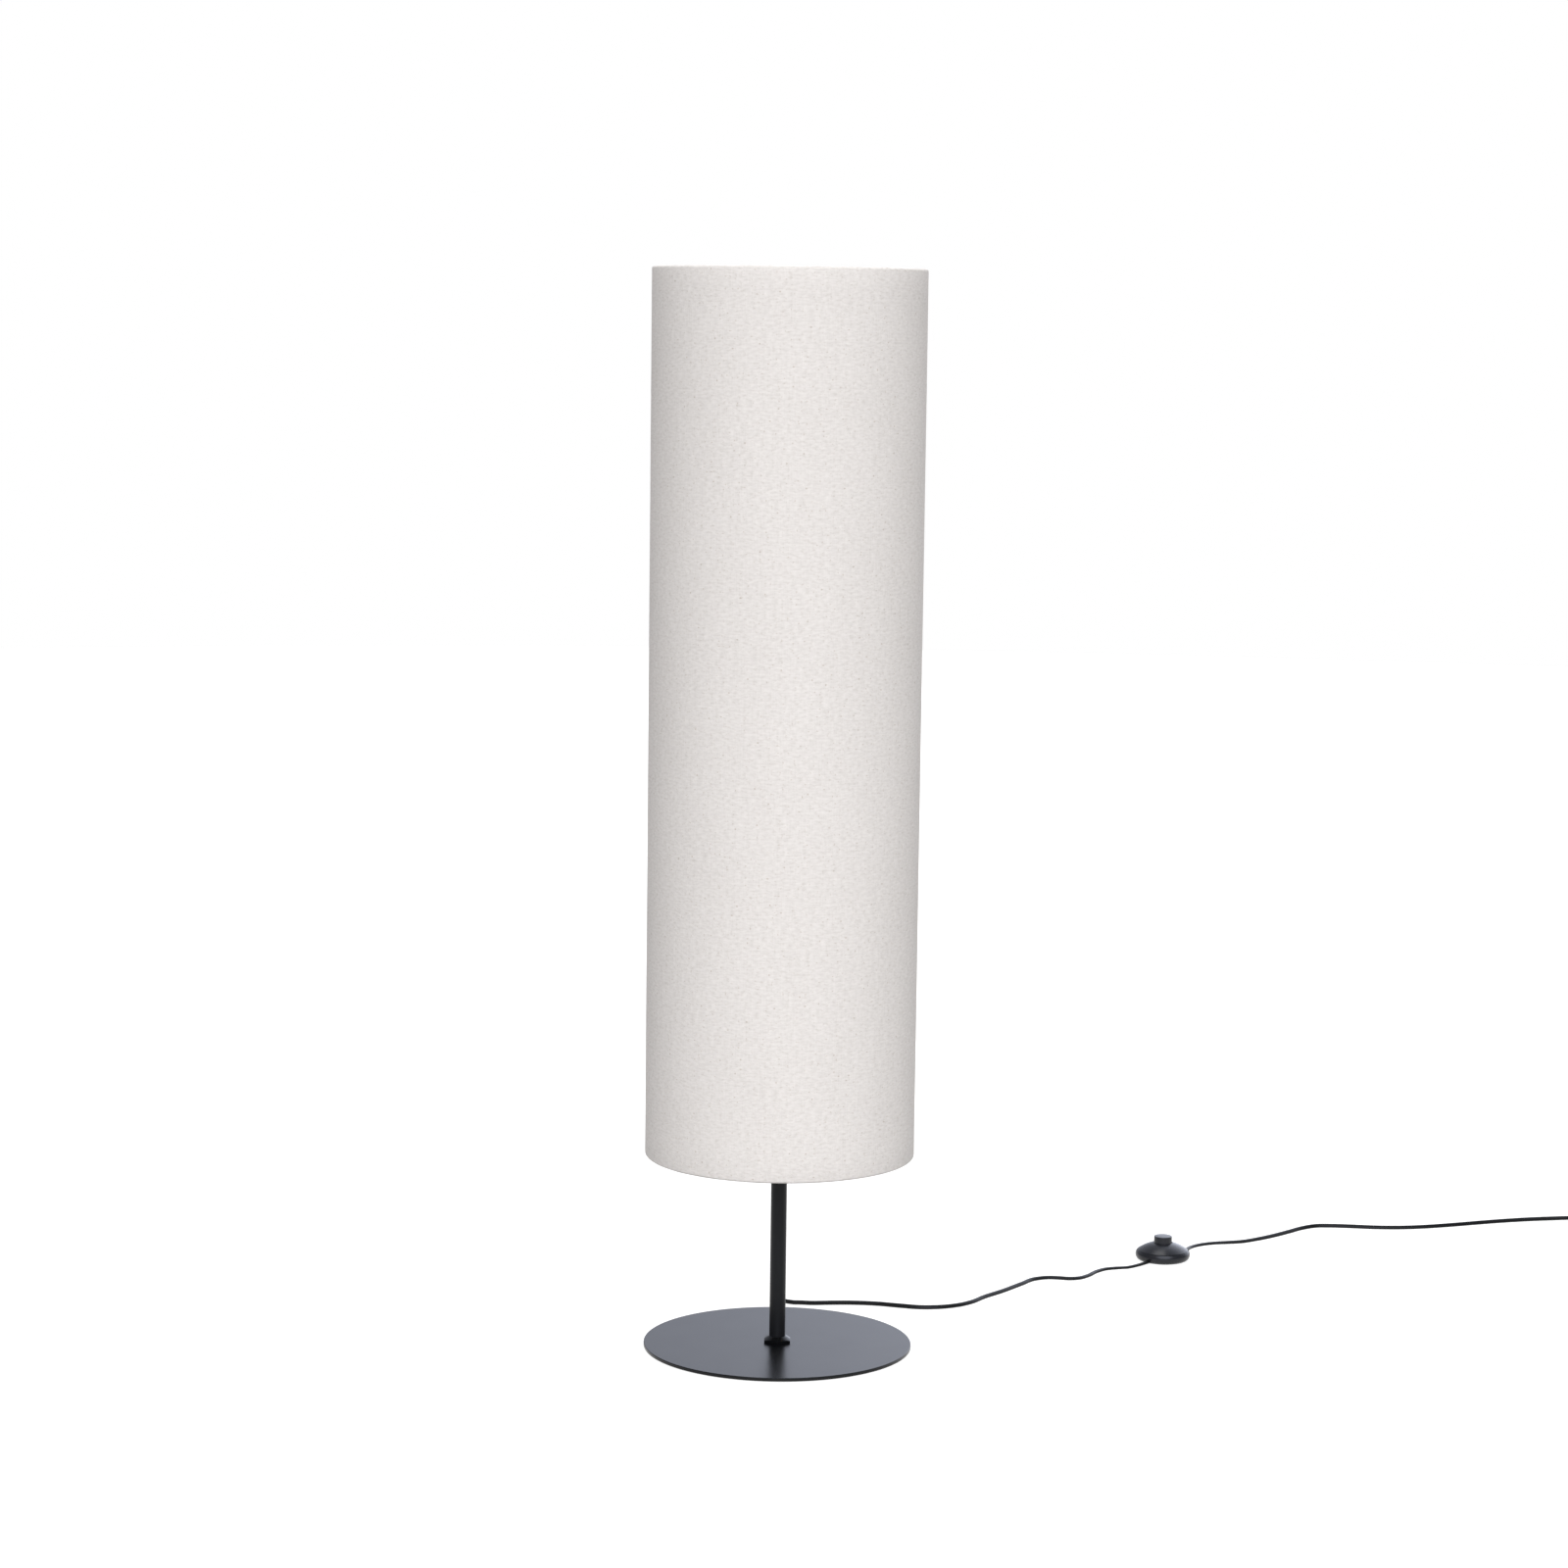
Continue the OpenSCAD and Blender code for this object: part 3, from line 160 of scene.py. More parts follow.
def coil_point(turns):
    """A point of the coil: two layers, wound inwards below and outwards above. The cord
    climbs from one to the other over half a turn."""
    a = math.radians(90 - 360 * turns)
    past_middle = turns - COIL_TURNS / 2
    r = COIL_MID_D / 2 - COIL_PITCH * COIL_TURNS / 4 + COIL_PITCH * abs(past_middle)
    u = min(1.0, max(0.0, 2 * past_middle + 0.5))
    climb = COIL_LAYER * u * u * (3 - 2 * u)
    return (COIL_X + r * math.cos(a), COIL_Y + r * math.sin(a), COIL_LOW_Z + climb, 90)


def smooth_line(points, step):
    """The points of a smooth curve through the given ones, about step apart. None of them
    lets the cord sink below the floor."""
    p = np.array(points, float)
    gap = np.linalg.norm(np.diff(p[:, :3], axis=0), axis=1)
    t = np.concatenate([[0], np.cumsum(np.maximum(gap, 1e-6))])
    slope = np.gradient(p, t, axis=0)
    out = []
    for i in range(len(p) - 1):
        span = t[i + 1] - t[i]
        count = max(1, int(round(span / step)))
        for k in range(count):
            s = k / count
            h = (2 * s**3 - 3 * s**2 + 1, s**3 - 2 * s**2 + s, 3 * s**2 - 2 * s**3, s**3 - s**2)
            out.append(h[0] * p[i] + h[1] * span * slope[i]
                       + h[2] * p[i + 1] + h[3] * span * slope[i + 1])
    out.append(p[-1])
    for place in out:
        place[2] = max(place[2], cord_half_height(place[3]))
    return np.array(out)


def obround(w, t, count=6):
    """Points round a flat section: two half circles joined by flat sides, if it has any."""
    flat = (w - t) / 2
    points = []
    for side, start in ((1, -90), (-1, 90)):
        for k in range(count + 1 if flat > 0 else count):
            a = math.radians(start + 180 * k / count)
            points.append((side * flat + t / 2 * math.cos(a), t / 2 * math.sin(a)))
    return points


def sweep(bm, line, section):
    """Add a closed tube whose section follows line, which gives x, y, z and roll in mm. The
    UV map counts the section's points round it, about 1 mm each on the cord, and has the
    length along it in mm. Where the line runs straight up, x counts as level."""
    uv = bm.loops.layers.uv.verify()
    rings, along, run = [], [], 0.0
    for i, (x, y, z, roll) in enumerate(line):
        before, after = line[max(i - 1, 0)][:3], line[min(i + 1, len(line) - 1)][:3]
        ahead = Vector(np.subtract(after, before)).normalized()
        level = Vector((0, 0, 1)).cross(ahead)
        level = level.normalized() if level.length > STEEP else Vector((1, 0, 0))
        upright = ahead.cross(level)
        a = math.radians(roll)
        broad = math.cos(a) * level + math.sin(a) * upright
        thin = ahead.cross(broad)
        centre = Vector((x, y, z))
        rings.append([bm.verts.new((centre + u * broad + v * thin) * MM) for u, v in section])
        run += float(np.linalg.norm(np.subtract(line[i][:3], line[max(i - 1, 0)][:3])))
        along.append(run)
    n = len(section)
    for i, (a, b) in enumerate(zip(rings, rings[1:])):
        for k in range(n):
            face = bm.faces.new((a[k], a[(k + 1) % n], b[(k + 1) % n], b[k]))
            face.smooth = True
            for loop, (u, v) in zip(face.loops, ((k, i), (k + 1, i), (k + 1, i + 1), (k, i + 1))):
                loop[uv].uv = (u, along[v])
    bm.faces.new(rings[0][::-1])
    bm.faces.new(rings[-1])


def new_piece(name, bm, material, turn_out=True):
    """Turn a finished bmesh into a piece of the lamp, its faces outwards unless they are
    right already."""
    if turn_out:
        bmesh.ops.recalc_face_normals(bm, faces=bm.faces)
    mesh = bpy.data.meshes.new(name)
    bm.to_mesh(mesh)
    bm.free()
    mesh.materials.append(material)
    piece = bpy.data.objects.new(name, mesh)
    scene.collection.objects.link(piece)
    return piece


def linear(hex_colour):
    """The linear colour of an sRGB hex value."""
    parts = [int(hex_colour[i:i + 2], 16) / 255 for i in (1, 3, 5)]
    return [p / 12.92 if p <= 0.04045 else ((p + 0.055) / 1.055) ** 2.4 for p in parts] + [1.0]


def node(tree, kind, inputs=None, **settings):
    """Add a node; a socket among its inputs is linked, anything else is its value."""
    made = tree.nodes.new(kind)
    for key, value in settings.items():
        setattr(made, key, value)
    for key, value in (inputs or {}).items():
        if isinstance(value, bpy.types.NodeSocket):
            tree.links.new(value, made.inputs[key])
        else:
            made.inputs[key].default_value = value
    return made


def new_finish(name, inputs):
    """A material with one Principled shader, given the values that hold all over it."""
    material = bpy.data.materials.new(name)
    material.use_nodes = True
    shader = material.node_tree.nodes["Principled BSDF"]
    for key, value in inputs.items():
        shader.inputs[key].default_value = value
    return material, material.node_tree, shader


def surface(tree, shader, pattern, colours, relief, strength, depth, rough=None,
            span=(0.0, 1.0)):
    """Let one pattern lead the colour from the first value to the second, and the roughness
    too where it is given, over that span of the pattern. The relief raises a bump, whose
    depth is in mm."""
    tone = node(tree, "ShaderNodeMix", {
        "Factor": pattern, "A": linear(colours[0]), "B": linear(colours[1])},
        data_type="RGBA")
    tree.links.new(tone.outputs["Result"], shader.inputs["Base Color"])
    if rough:
        spread = node(tree, "ShaderNodeMapRange", {
            "Value": pattern, "From Min": span[0], "From Max": span[1],
            "To Min": rough[0], "To Max": rough[1]})
        tree.links.new(spread.outputs["Result"], shader.inputs["Roughness"])
    bump = node(tree, "ShaderNodeBump", {
        "Height": relief, "Strength": strength, "Distance": depth * MM})
    tree.links.new(bump.outputs["Normal"], shader.inputs["Normal"])


def cord_sheath():
    """Soft PVC, pressed out smooth: a satin shine that breaks up a little along the cord, in
    patches of 8 by 20 mm, and faint lengthwise lines from the die, about 1 mm apart."""
    material, tree, shader = new_finish("extruded_black_pvc", {
        "IOR": 1.5, "Specular IOR Level": 0.2})
    uv = node(tree, "ShaderNodeTexCoord").outputs["UV"]
    lines = node(tree, "ShaderNodeMapping", {"Vector": uv, "Scale": (0.9, 0.012, 1.0)})
    drawn = node(tree, "ShaderNodeTexNoise", {
        "Vector": lines.outputs[0], "Scale": 1.0, "Detail": 2.0})
    spots = node(tree, "ShaderNodeMapping", {"Vector": uv, "Scale": (0.12, 0.05, 1.0)})
    dull = node(tree, "ShaderNodeTexNoise", {
        "Vector": spots.outputs[0], "Scale": 1.0, "Detail": 3.0})
    surface(tree, shader, dull.outputs["Fac"], ("#060708", "#0a0b0c"),
            drawn.outputs["Fac"], strength=0.25, depth=0.05, rough=(0.34, 0.5))
    return material


def cord_piece(name, line):
    """A stretch of the cord along a line of points."""
    bm = bmesh.new()
    sweep(bm, line, obround(CORD_W, CORD_T))
    return new_piece(name, bm, sheath)


def declare_cord(piece, line, **facts):
    """Put a piece on the lamp's body. The line and the facts are not used."""
    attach(piece, "lamp")


sheath = cord_sheath()

lamp_line = smooth_line(
    [(0, y, CORD_EXIT_Z, 0) for y in (CORD_START_Y, BUSHING_MIDDLE_Y, BUSHING_TIP_Y)]
    + [on_floor_route(*q) for q in TO_SWITCH]
    + [in_switch(-SWITCH_END), in_switch(-CORD_IN_SWITCH)], CORD_STEP)
lamp_cord = cord_piece("lamp_cord", lamp_line)
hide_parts("cord_to_switch")

coil = [coil_point(i / COIL_STEPS) for i in range(int(COIL_STEPS * COIL_TURNS) + 1)]
start_x, start_y, start_z, _ = coil[0]
end_x, end_y, end_z, _ = coil[-1]
tail_y = end_y - COIL_RUN_OUT
run = tail_y - SLEEVE_TIP_Y
drop = end_z - PLUG_Z
tail = [(end_x, tail_y - run * share, end_z - drop * fallen, roll)
        for share, fallen, roll in TAIL]
plug_line = smooth_line(
    [in_switch(CORD_IN_SWITCH), in_switch(SWITCH_END)]
    + [on_floor_route(*q) for q in TO_COIL]
    + [(start_x - before, start_y, start_z, 90) for before in COIL_RUN_IN]
    + coil + tail
    + [(PLUG_X, y, PLUG_Z, 0) for y in (SLEEVE_TIP_Y, SLEEVE_TIP_Y - CORD_IN_SLEEVE)],
    CORD_STEP)
plug_cord = cord_piece("plug_cord", plug_line)
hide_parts("cord_to_coil", "cord_coil", "cord_to_plug")


# ---- Base plate and felt ----
# A round steel plate with softened edges, powder-coated satin black, that keeps the lamp
# upright by its weight. A ring of needle felt is glued below it.

PLATE_BOTTOM = 1
FELT_R = 138
FELT_HOLE_R = 25
FELT_EDGE = 0.3
FELT_STEPS = 128
WELD = 1e-6
SHARP = math.radians(28)
SLOT_OF = {row["node"]: row["material_slot"] for row in frame["record"]["subparts"]}


def dress(material, *names):
    """Give CAD nodes their finish."""
    for name in names:
        for place in NODES[name].material_slots:
            place.material = material


def stand_in(piece, slot, *names, body="lamp"):
    """Put a piece in the place of CAD nodes, on their body. The slot is not used."""
    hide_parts(*names)
    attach(piece, body)
    return piece


def smoothed(name, source, material, body="lamp"):
    """A copy of a CAD node's skin, its doubles merged, shaded smooth between its edges. It
    stands for the node."""
    bm = bmesh.new()
    bm.from_mesh(NODES[source].data)
    bmesh.ops.remove_doubles(bm, verts=bm.verts, dist=WELD)
    for face in bm.faces:
        face.smooth = True
    for edge in bm.edges:
        edge.smooth = edge.calc_face_angle(0.0) < SHARP
    piece = new_piece(name, bm, material, turn_out=False)
    return stand_in(piece, SLOT_OF[source], source, body=body)


def powder_coat(name, colour, shade, roughness, gloss):
    """Powder paint baked on steel: an even satin skin, faintly cloudy over some 45 mm, with a
    slight orange peel, which softens what it mirrors. The peel is 1.5 mm wide, about as
    fine as shows."""
    material, tree, shader = new_finish(name, {"IOR": 1.45, "Specular IOR Level": gloss})
    place = node(tree, "ShaderNodeTexCoord").outputs["Object"]
    cloud = node(tree, "ShaderNodeTexNoise", {"Vector": place, "Scale": 22.0, "Detail": 3.0})
    peel = node(tree, "ShaderNodeTexNoise", {
        "Vector": place, "Scale": 1 / (1.5 * MM), "Detail": 2.0})
    surface(tree, shader, cloud.outputs["Fac"], (colour, shade), peel.outputs["Fac"],
            strength=0.07, depth=0.03, rough=(roughness - 0.006, roughness + 0.006),
            span=(0.3, 0.7))
    return material


def needle_felt():
    """Short dark fibres needled into a mat: dull, with paler fibres on top and a nap. They
    are drawn 1.2 mm wide, because real ones are too fine to show."""
    material, tree, shader = new_finish("needle_felt", {"Roughness": 0.95, "Sheen Weight": 0.3})
    place = node(tree, "ShaderNodeTexCoord").outputs["Object"]
    fibres = node(tree, "ShaderNodeTexNoise", {
        "Vector": place, "Scale": 1 / (1.2 * MM), "Detail": 4.0, "Distortion": 1.5})
    surface(tree, shader, fibres.outputs["Fac"], ("#141415", "#2c2c2e"),
            fibres.outputs["Fac"], strength=0.8, depth=0.3)
    return material


def turned(name, profile, steps, material, frame_of=Matrix.Identity(4)):
    """A round piece: its profile, radius and height in mm, is spun about its axis, and the
    matrix puts it in its place."""
    bm = bmesh.new()
    corners = [bm.verts.new((r * MM, 0, h * MM)) for r, h in profile]
    edges = [bm.edges.new(pair) for pair in zip(corners, corners[1:] + corners[:1])]
    bmesh.ops.spin(bm, geom=corners + edges, cent=(0, 0, 0), axis=(0, 0, 1),
                   angle=math.tau, steps=steps, use_merge=True)
    bmesh.ops.remove_doubles(bm, verts=bm.verts, dist=WELD)
    bmesh.ops.transform(bm, matrix=frame_of, verts=bm.verts)
    for face in bm.faces:
        face.smooth = True
    return new_piece(name, bm, material)


black_coat = powder_coat("satin_black_powder_coat", "#08090b", "#0a0b0d", 0.28, 0.26)
dress(black_coat, "base_plate")

felt = turned("felt_ring", [
    (FELT_HOLE_R, 0), (FELT_R - FELT_EDGE, 0), (FELT_R, FELT_EDGE), (FELT_R, PLATE_BOTTOM),
    (FELT_HOLE_R, PLATE_BOTTOM)], FELT_STEPS, needle_felt())
stand_in(felt, "base_felt", "base_pad")


# ---- Pole ----
# A hexagonal foot on the plate and two thin steel tubes, screwed together through zinc-
# plated bushes and hollow nipples. The foot, washer and cap nut have the plate's black
# coat, and the tubes the same coat with less gloss and a paler colour, which is painted
# reflection in place of the shine they lose.


def plain_metal(name, colour, shade, roughness, grain):
    """Bare or plated metal: it mirrors in its own colour, blurred by the fine marks of
    turning or rolling, with dull and bright patches 8 mm wide. The marks' grain is in mm."""
    material, tree, shader = new_finish(name, {"Metallic": 1.0})
    place = node(tree, "ShaderNodeTexCoord").outputs["Object"]
    cloud = node(tree, "ShaderNodeTexNoise", {"Vector": place, "Scale": 120.0, "Detail": 3.0})
    squeezed = node(tree, "ShaderNodeMapping", {"Vector": place, "Scale": (0.15, 0.15, 1.0)})
    marks = node(tree, "ShaderNodeTexNoise", {
        "Vector": squeezed.outputs[0], "Scale": 1 / (grain * MM), "Detail": 2.0})
    surface(tree, shader, cloud.outputs["Fac"], (colour, shade), marks.outputs["Fac"],
            strength=0.2, depth=0.03, rough=(roughness - 0.08, roughness + 0.08))
    return material


dress(black_coat, "shade_washer")
smoothed("hexagonal_foot", "pole_foot", black_coat)
smoothed("cap_nut", "shade_nut", black_coat)
# The tubes' paler colour is painted reflection: it stands in for the shine that their lower gloss
# takes off.
tube_coat_painted_reflection = powder_coat("satin_black_tube_coat_painted_reflection", "#18191c", "#1a1b1e", 0.3, 0.18)
smoothed("lower_pole_tube", "lower_tube", tube_coat_painted_reflection)
smoothed("upper_pole_tube", "upper_tube", tube_coat_painted_reflection)
zinc = plain_metal("bright_zinc_plate", "#c3c6ca", "#a9acb2", 0.3, 0.5)
dress(zinc, "base_screw", "lower_bush", "upper_bush", "joint_nipple", "top_bush",
      "top_nipple", "holder_nipples", "holder_nuts", "arm_screws", "switch_screws")


# ---- Cord outlet and inner wires ----
# A moulded rubber bushing holds the cord at the pole's rear; its ribbed sleeve keeps the
# cord from kinking. Behind it the cord's two wires go up inside the pole, out through
# rubber rings to the lower holder, and on to the upper one.

NECK_L = 3
NECK_R = 4.95
COLLAR_R = 6.5
COLLAR_EDGE = 0.4
COLLAR_END_Y = 11
SLEEVE_ROOT_R = 4.8
RIB_START_Y = 12.2
RIB_PITCH = 3.2
RIB_R = 5
RIB_TAPER = 1.4
CUT_W = 1.3
CUT_DEPTH = 0.9
CUT_LEAN = 0.15
TIP_L = 1
SLEEVE_TIP = ((3.7, 1.2), (3.5, 0.2), (3.2, 0), (0, 0))
OUTLET_STEPS = 48
WIRE_D = 2.2
WIRE_HALF_GAP = 1.25
WIRE_BEND = 5
WIRE_BEND_STEPS = 8
WIRE_OFF_MIDDLE = 2
LOWER_HOLDER_Z = 420
UPPER_HOLDER_Z = 860
HOLDER_REACH = 45
WIRE_END_UP = 13
LOWER_WIRE_Z = 406
MIDDLE_WIRE_Z = 409
UPPER_WIRE_Z = 847.5


def moulded(name, colour, shade, roughness, grain, gloss=0.5):
    """Moulded plastic or rubber, coloured all through: a fine grain from the mould, given
    in mm, and a shine that is uneven over some 17 mm, where it has been handled."""
    material, tree, shader = new_finish(name, {"IOR": 1.5, "Specular IOR Level": gloss})
    place = node(tree, "ShaderNodeTexCoord").outputs["Object"]
    cloud = node(tree, "ShaderNodeTexNoise", {"Vector": place, "Scale": 60.0, "Detail": 3.0})
    pits = node(tree, "ShaderNodeTexNoise", {
        "Vector": place, "Scale": 1 / (grain * MM), "Detail": 2.0})
    surface(tree, shader, cloud.outputs["Fac"], (colour, shade), pits.outputs["Fac"],
            strength=0.3, depth=0.05, rough=(roughness - 0.07, roughness + 0.07))
    return material


rubber = moulded("matt_black_rubber", "#121213", "#1b1b1c", 0.62, 0.7)
dress(rubber, "wire_grommets")

sleeve = [
    (0, CORD_EXIT_Y - NECK_L), (NECK_R, CORD_EXIT_Y - NECK_L), (NECK_R, CORD_EXIT_Y),
    (COLLAR_R - COLLAR_EDGE, CORD_EXIT_Y), (COLLAR_R, CORD_EXIT_Y + COLLAR_EDGE),
    (COLLAR_R, COLLAR_END_Y - COLLAR_EDGE), (COLLAR_R - COLLAR_EDGE, COLLAR_END_Y),
    (SLEEVE_ROOT_R, COLLAR_END_Y)]
rib_y = RIB_START_Y
while rib_y + RIB_PITCH < BUSHING_TIP_Y - TIP_L:
    r = RIB_R - RIB_TAPER * (rib_y - COLLAR_END_Y) / (BUSHING_TIP_Y - COLLAR_END_Y)
    cut_y = rib_y + RIB_PITCH - CUT_W
    sleeve += [(r, rib_y), (r, cut_y), (r - CUT_DEPTH, cut_y + CUT_LEAN),
               (r - CUT_DEPTH, rib_y + RIB_PITCH - CUT_LEAN)]
    rib_y += RIB_PITCH
sleeve += [(r, BUSHING_TIP_Y - before) for r, before in SLEEVE_TIP]
out_of_pole = Matrix.Translation((0, 0, CORD_EXIT_Z * MM)) @ Matrix.Rotation(-math.pi / 2, 4, "X")
stand_in(turned("cord_outlet", sleeve, OUTLET_STEPS, rubber, out_of_pole),
         "black_rubber", "cord_bushing")


def bent_wire(points, radius):
    """The corners of a wire's run, each rounded to the radius, in points for sweep."""
    out = [Vector(points[0])]
    for before, corner, after in zip(points, points[1:], points[2:]):
        corner = Vector(corner)
        back = (Vector(before) - corner).normalized()
        ahead = (Vector(after) - corner).normalized()
        for k in range(WIRE_BEND_STEPS + 1):
            s = k / WIRE_BEND_STEPS
            out.append(corner + radius * ((1 - s) ** 2 * back + s**2 * ahead))
    out.append(Vector(points[-1]))
    return [(*p, 0) for p in out]


def wire_pair(name, points, material, source):
    """Two wires side by side in x; points are the y and z of their middle line's corners."""
    bm = bmesh.new()
    for side in (-WIRE_HALF_GAP, WIRE_HALF_GAP):
        line = bent_wire([(side, y, z) for y, z in points], WIRE_BEND)
        sweep(bm, line, obround(WIRE_D, WIRE_D))
    stand_in(new_piece(name, bm, material), "core_brown", source)


insulation = moulded("brown_wire_insulation", "#6b4a2f", "#5c3f29", 0.42, 0.6)
dress(insulation, "switch_cores")
wire_pair("lower_wires", [
    (CORD_START_Y, CORD_EXIT_Z), (WIRE_OFF_MIDDLE, CORD_EXIT_Z),
    (WIRE_OFF_MIDDLE, LOWER_WIRE_Z), (HOLDER_REACH + WIRE_HALF_GAP, LOWER_WIRE_Z),
    (HOLDER_REACH + WIRE_HALF_GAP, LOWER_HOLDER_Z + WIRE_END_UP)], insulation, "lower_leads")
wire_pair("upper_wires", [
    (HOLDER_REACH - WIRE_HALF_GAP, LOWER_HOLDER_Z + WIRE_END_UP),
    (HOLDER_REACH - WIRE_HALF_GAP, MIDDLE_WIRE_Z), (-WIRE_OFF_MIDDLE, MIDDLE_WIRE_Z),
    (-WIRE_OFF_MIDDLE, UPPER_WIRE_Z), (-HOLDER_REACH, UPPER_WIRE_Z),
    (-HOLDER_REACH, UPPER_HOLDER_Z + WIRE_END_UP)], insulation, "upper_leads")


# ---- Shade frame and liner ----
# Two rings of white-coated steel wire, the upper one with three arms welded to a hub, and
# the stiff frosted film that the linen is glued to.

SHADE_R = 150
SHADE_BOTTOM = 220
SHADE_TOP = 1200
FOLD_R = 2.65
LINEN_T = 0.6

white_coat = powder_coat("white_powder_coat", "#eeedea", "#e6e5e2", 0.4, 0.5)
dress(white_coat, "top_ring", "bottom_ring")


def frosted_film(streak_w=12, streak_h=1.5):
    """Clear PVC film with a frosted face: white and satin, with the linen's weave faintly
    pressed through it from behind, in level streaks of that width and height in mm."""
    material, tree, shader = new_finish("frosted_liner_film", {"IOR": 1.5})
    place = node(tree, "ShaderNodeTexCoord").outputs["Object"]
    parts = node(tree, "ShaderNodeSeparateXYZ", {"Vector": place})
    angle = node(tree, "ShaderNodeMath", {
        0: parts.outputs["Y"], 1: parts.outputs["X"]}, operation="ARCTAN2")
    way_round = node(tree, "ShaderNodeMath", {
        0: angle.outputs[0], 1: SHADE_R / streak_w}, operation="MULTIPLY")
    high = node(tree, "ShaderNodeMath", {
        0: parts.outputs["Z"], 1: 1 / (streak_h * MM)}, operation="MULTIPLY")
    cloth = node(tree, "ShaderNodeCombineXYZ", {"X": way_round.outputs[0], "Y": high.outputs[0]})
    slubs = node(tree, "ShaderNodeTexNoise", {
        "Vector": cloth.outputs[0], "Scale": 1.0, "Detail": 3.0})
    surface(tree, shader, slubs.outputs["Fac"], ("#e4e0d9", "#f1efeb"),
            slubs.outputs["Fac"], strength=0.2, depth=0.1, rough=(0.32, 0.46))
    return material


dress(frosted_film(), "shade_liner")


# ---- Linen cover ----
# One sheet of off-white linen glued round the film, its ends lapped at the rear and its
# edges turned in over both ring wires. It is slit where the spider's arms pass.

HEM = 8
LAP = 10
LAP_RISE = 3
LAP_GAP = 0.05
WALL_ROWS = 44
FOLD_ROWS = 8
HEM_ROWS = 3
COLUMNS = 236
COLUMN_GAP = 1.2
CLOTH_R = SHADE_R - LINEN_T / 2
CLOTH_FOLD = FOLD_R - LINEN_T / 2
CLOTH_W = math.tau * CLOTH_R + LAP
ARM_ANGLES = (90, 210, 330)
SLIT_HALF = 2.2
SLIT_EDGE = 3.4
SLIT_FROM = 0.62
HAIR = 0.01
WAVE = 0.16
WAVES_ROUND = 2.2
WAVE_H = 160
WAVE_FROM = 3
WAVE_GROWS = 40
PUCKER = 0.10
PUCKER_W = 9
PUCKER_H = 14
PUCKER_REACH = 30
PUCKER_SEED = 3.7


def cloth_rows():
    """Each row of the sheet: distance from the fold's middle line and height, in mm, and
    how far up the cloth it is. The last rows are those of the upper hem."""
    centre = SHADE_R - FOLD_R
    low, high = SHADE_BOTTOM + FOLD_R, SHADE_TOP - FOLD_R
    rows = [(centre - CLOTH_FOLD, low + HEM * (1 - k / HEM_ROWS)) for k in range(HEM_ROWS)]
    for k in range(FOLD_ROWS):
        a = math.pi * (1 + k / FOLD_ROWS)
        rows.append((centre + CLOTH_FOLD * math.cos(a), low + CLOTH_FOLD * math.sin(a)))
    rows += [(CLOTH_R, low + (high - low) * k / WALL_ROWS) for k in range(WALL_ROWS)]
    for k in range(FOLD_ROWS):
        a = math.pi * k / FOLD_ROWS
        rows.append((centre + CLOTH_FOLD * math.cos(a), high + CLOTH_FOLD * math.sin(a)))
    rows += [(centre - CLOTH_FOLD, high - HEM * k / HEM_ROWS) for k in range(HEM_ROWS + 1)]
    up = [0.0]
    for a, b in zip(rows, rows[1:]):
        up.append(up[-1] + math.dist(a, b))
    return [(r, z, v) for (r, z), v in zip(rows, up)]


def cloth_columns():
    """The columns' places along the cloth, in mm, with extra ones at the slits' sides and
    where the lap starts and rises."""
    places = [CLOTH_W * k / COLUMNS for k in range(COLUMNS + 1)]
    extra = [CLOTH_W - LAP, CLOTH_W - LAP - LAP_RISE, LAP]
    for angle in ARM_ANGLES:
        middle = math.radians((angle - 90) % 360) * CLOTH_R
        extra += [middle + side for side in (-SLIT_EDGE, -SLIT_HALF, SLIT_HALF, SLIT_EDGE)]
        if middle < SLIT_EDGE:
            extra += [math.tau * CLOTH_R + side for side in (-SLIT_EDGE, -SLIT_HALF, SLIT_HALF)]
    extra = [u for u in extra if 0 < u < CLOTH_W]
    kept = [u for u in places
            if all(abs(u - e) > COLUMN_GAP for e in extra) or u in (0, CLOTH_W)]
    return sorted(kept + extra)


def at_slit(u):
    """Whether a place along the cloth is within the slit round one of the spider's arms."""
    for angle in ARM_ANGLES:
        middle = math.radians((angle - 90) % 360) * CLOTH_R
        if min(abs(u - middle), abs(u - middle - math.tau * CLOTH_R)) < SLIT_HALF + HAIR:
            return True
    return False


def from_edges(z, start, reach):
    """0 near the shade's upper and lower edge, and 1 from start + reach mm inwards."""
    return min(1.0, max(0.0, (min(z - SHADE_BOTTOM, SHADE_TOP - z) - start) / reach))


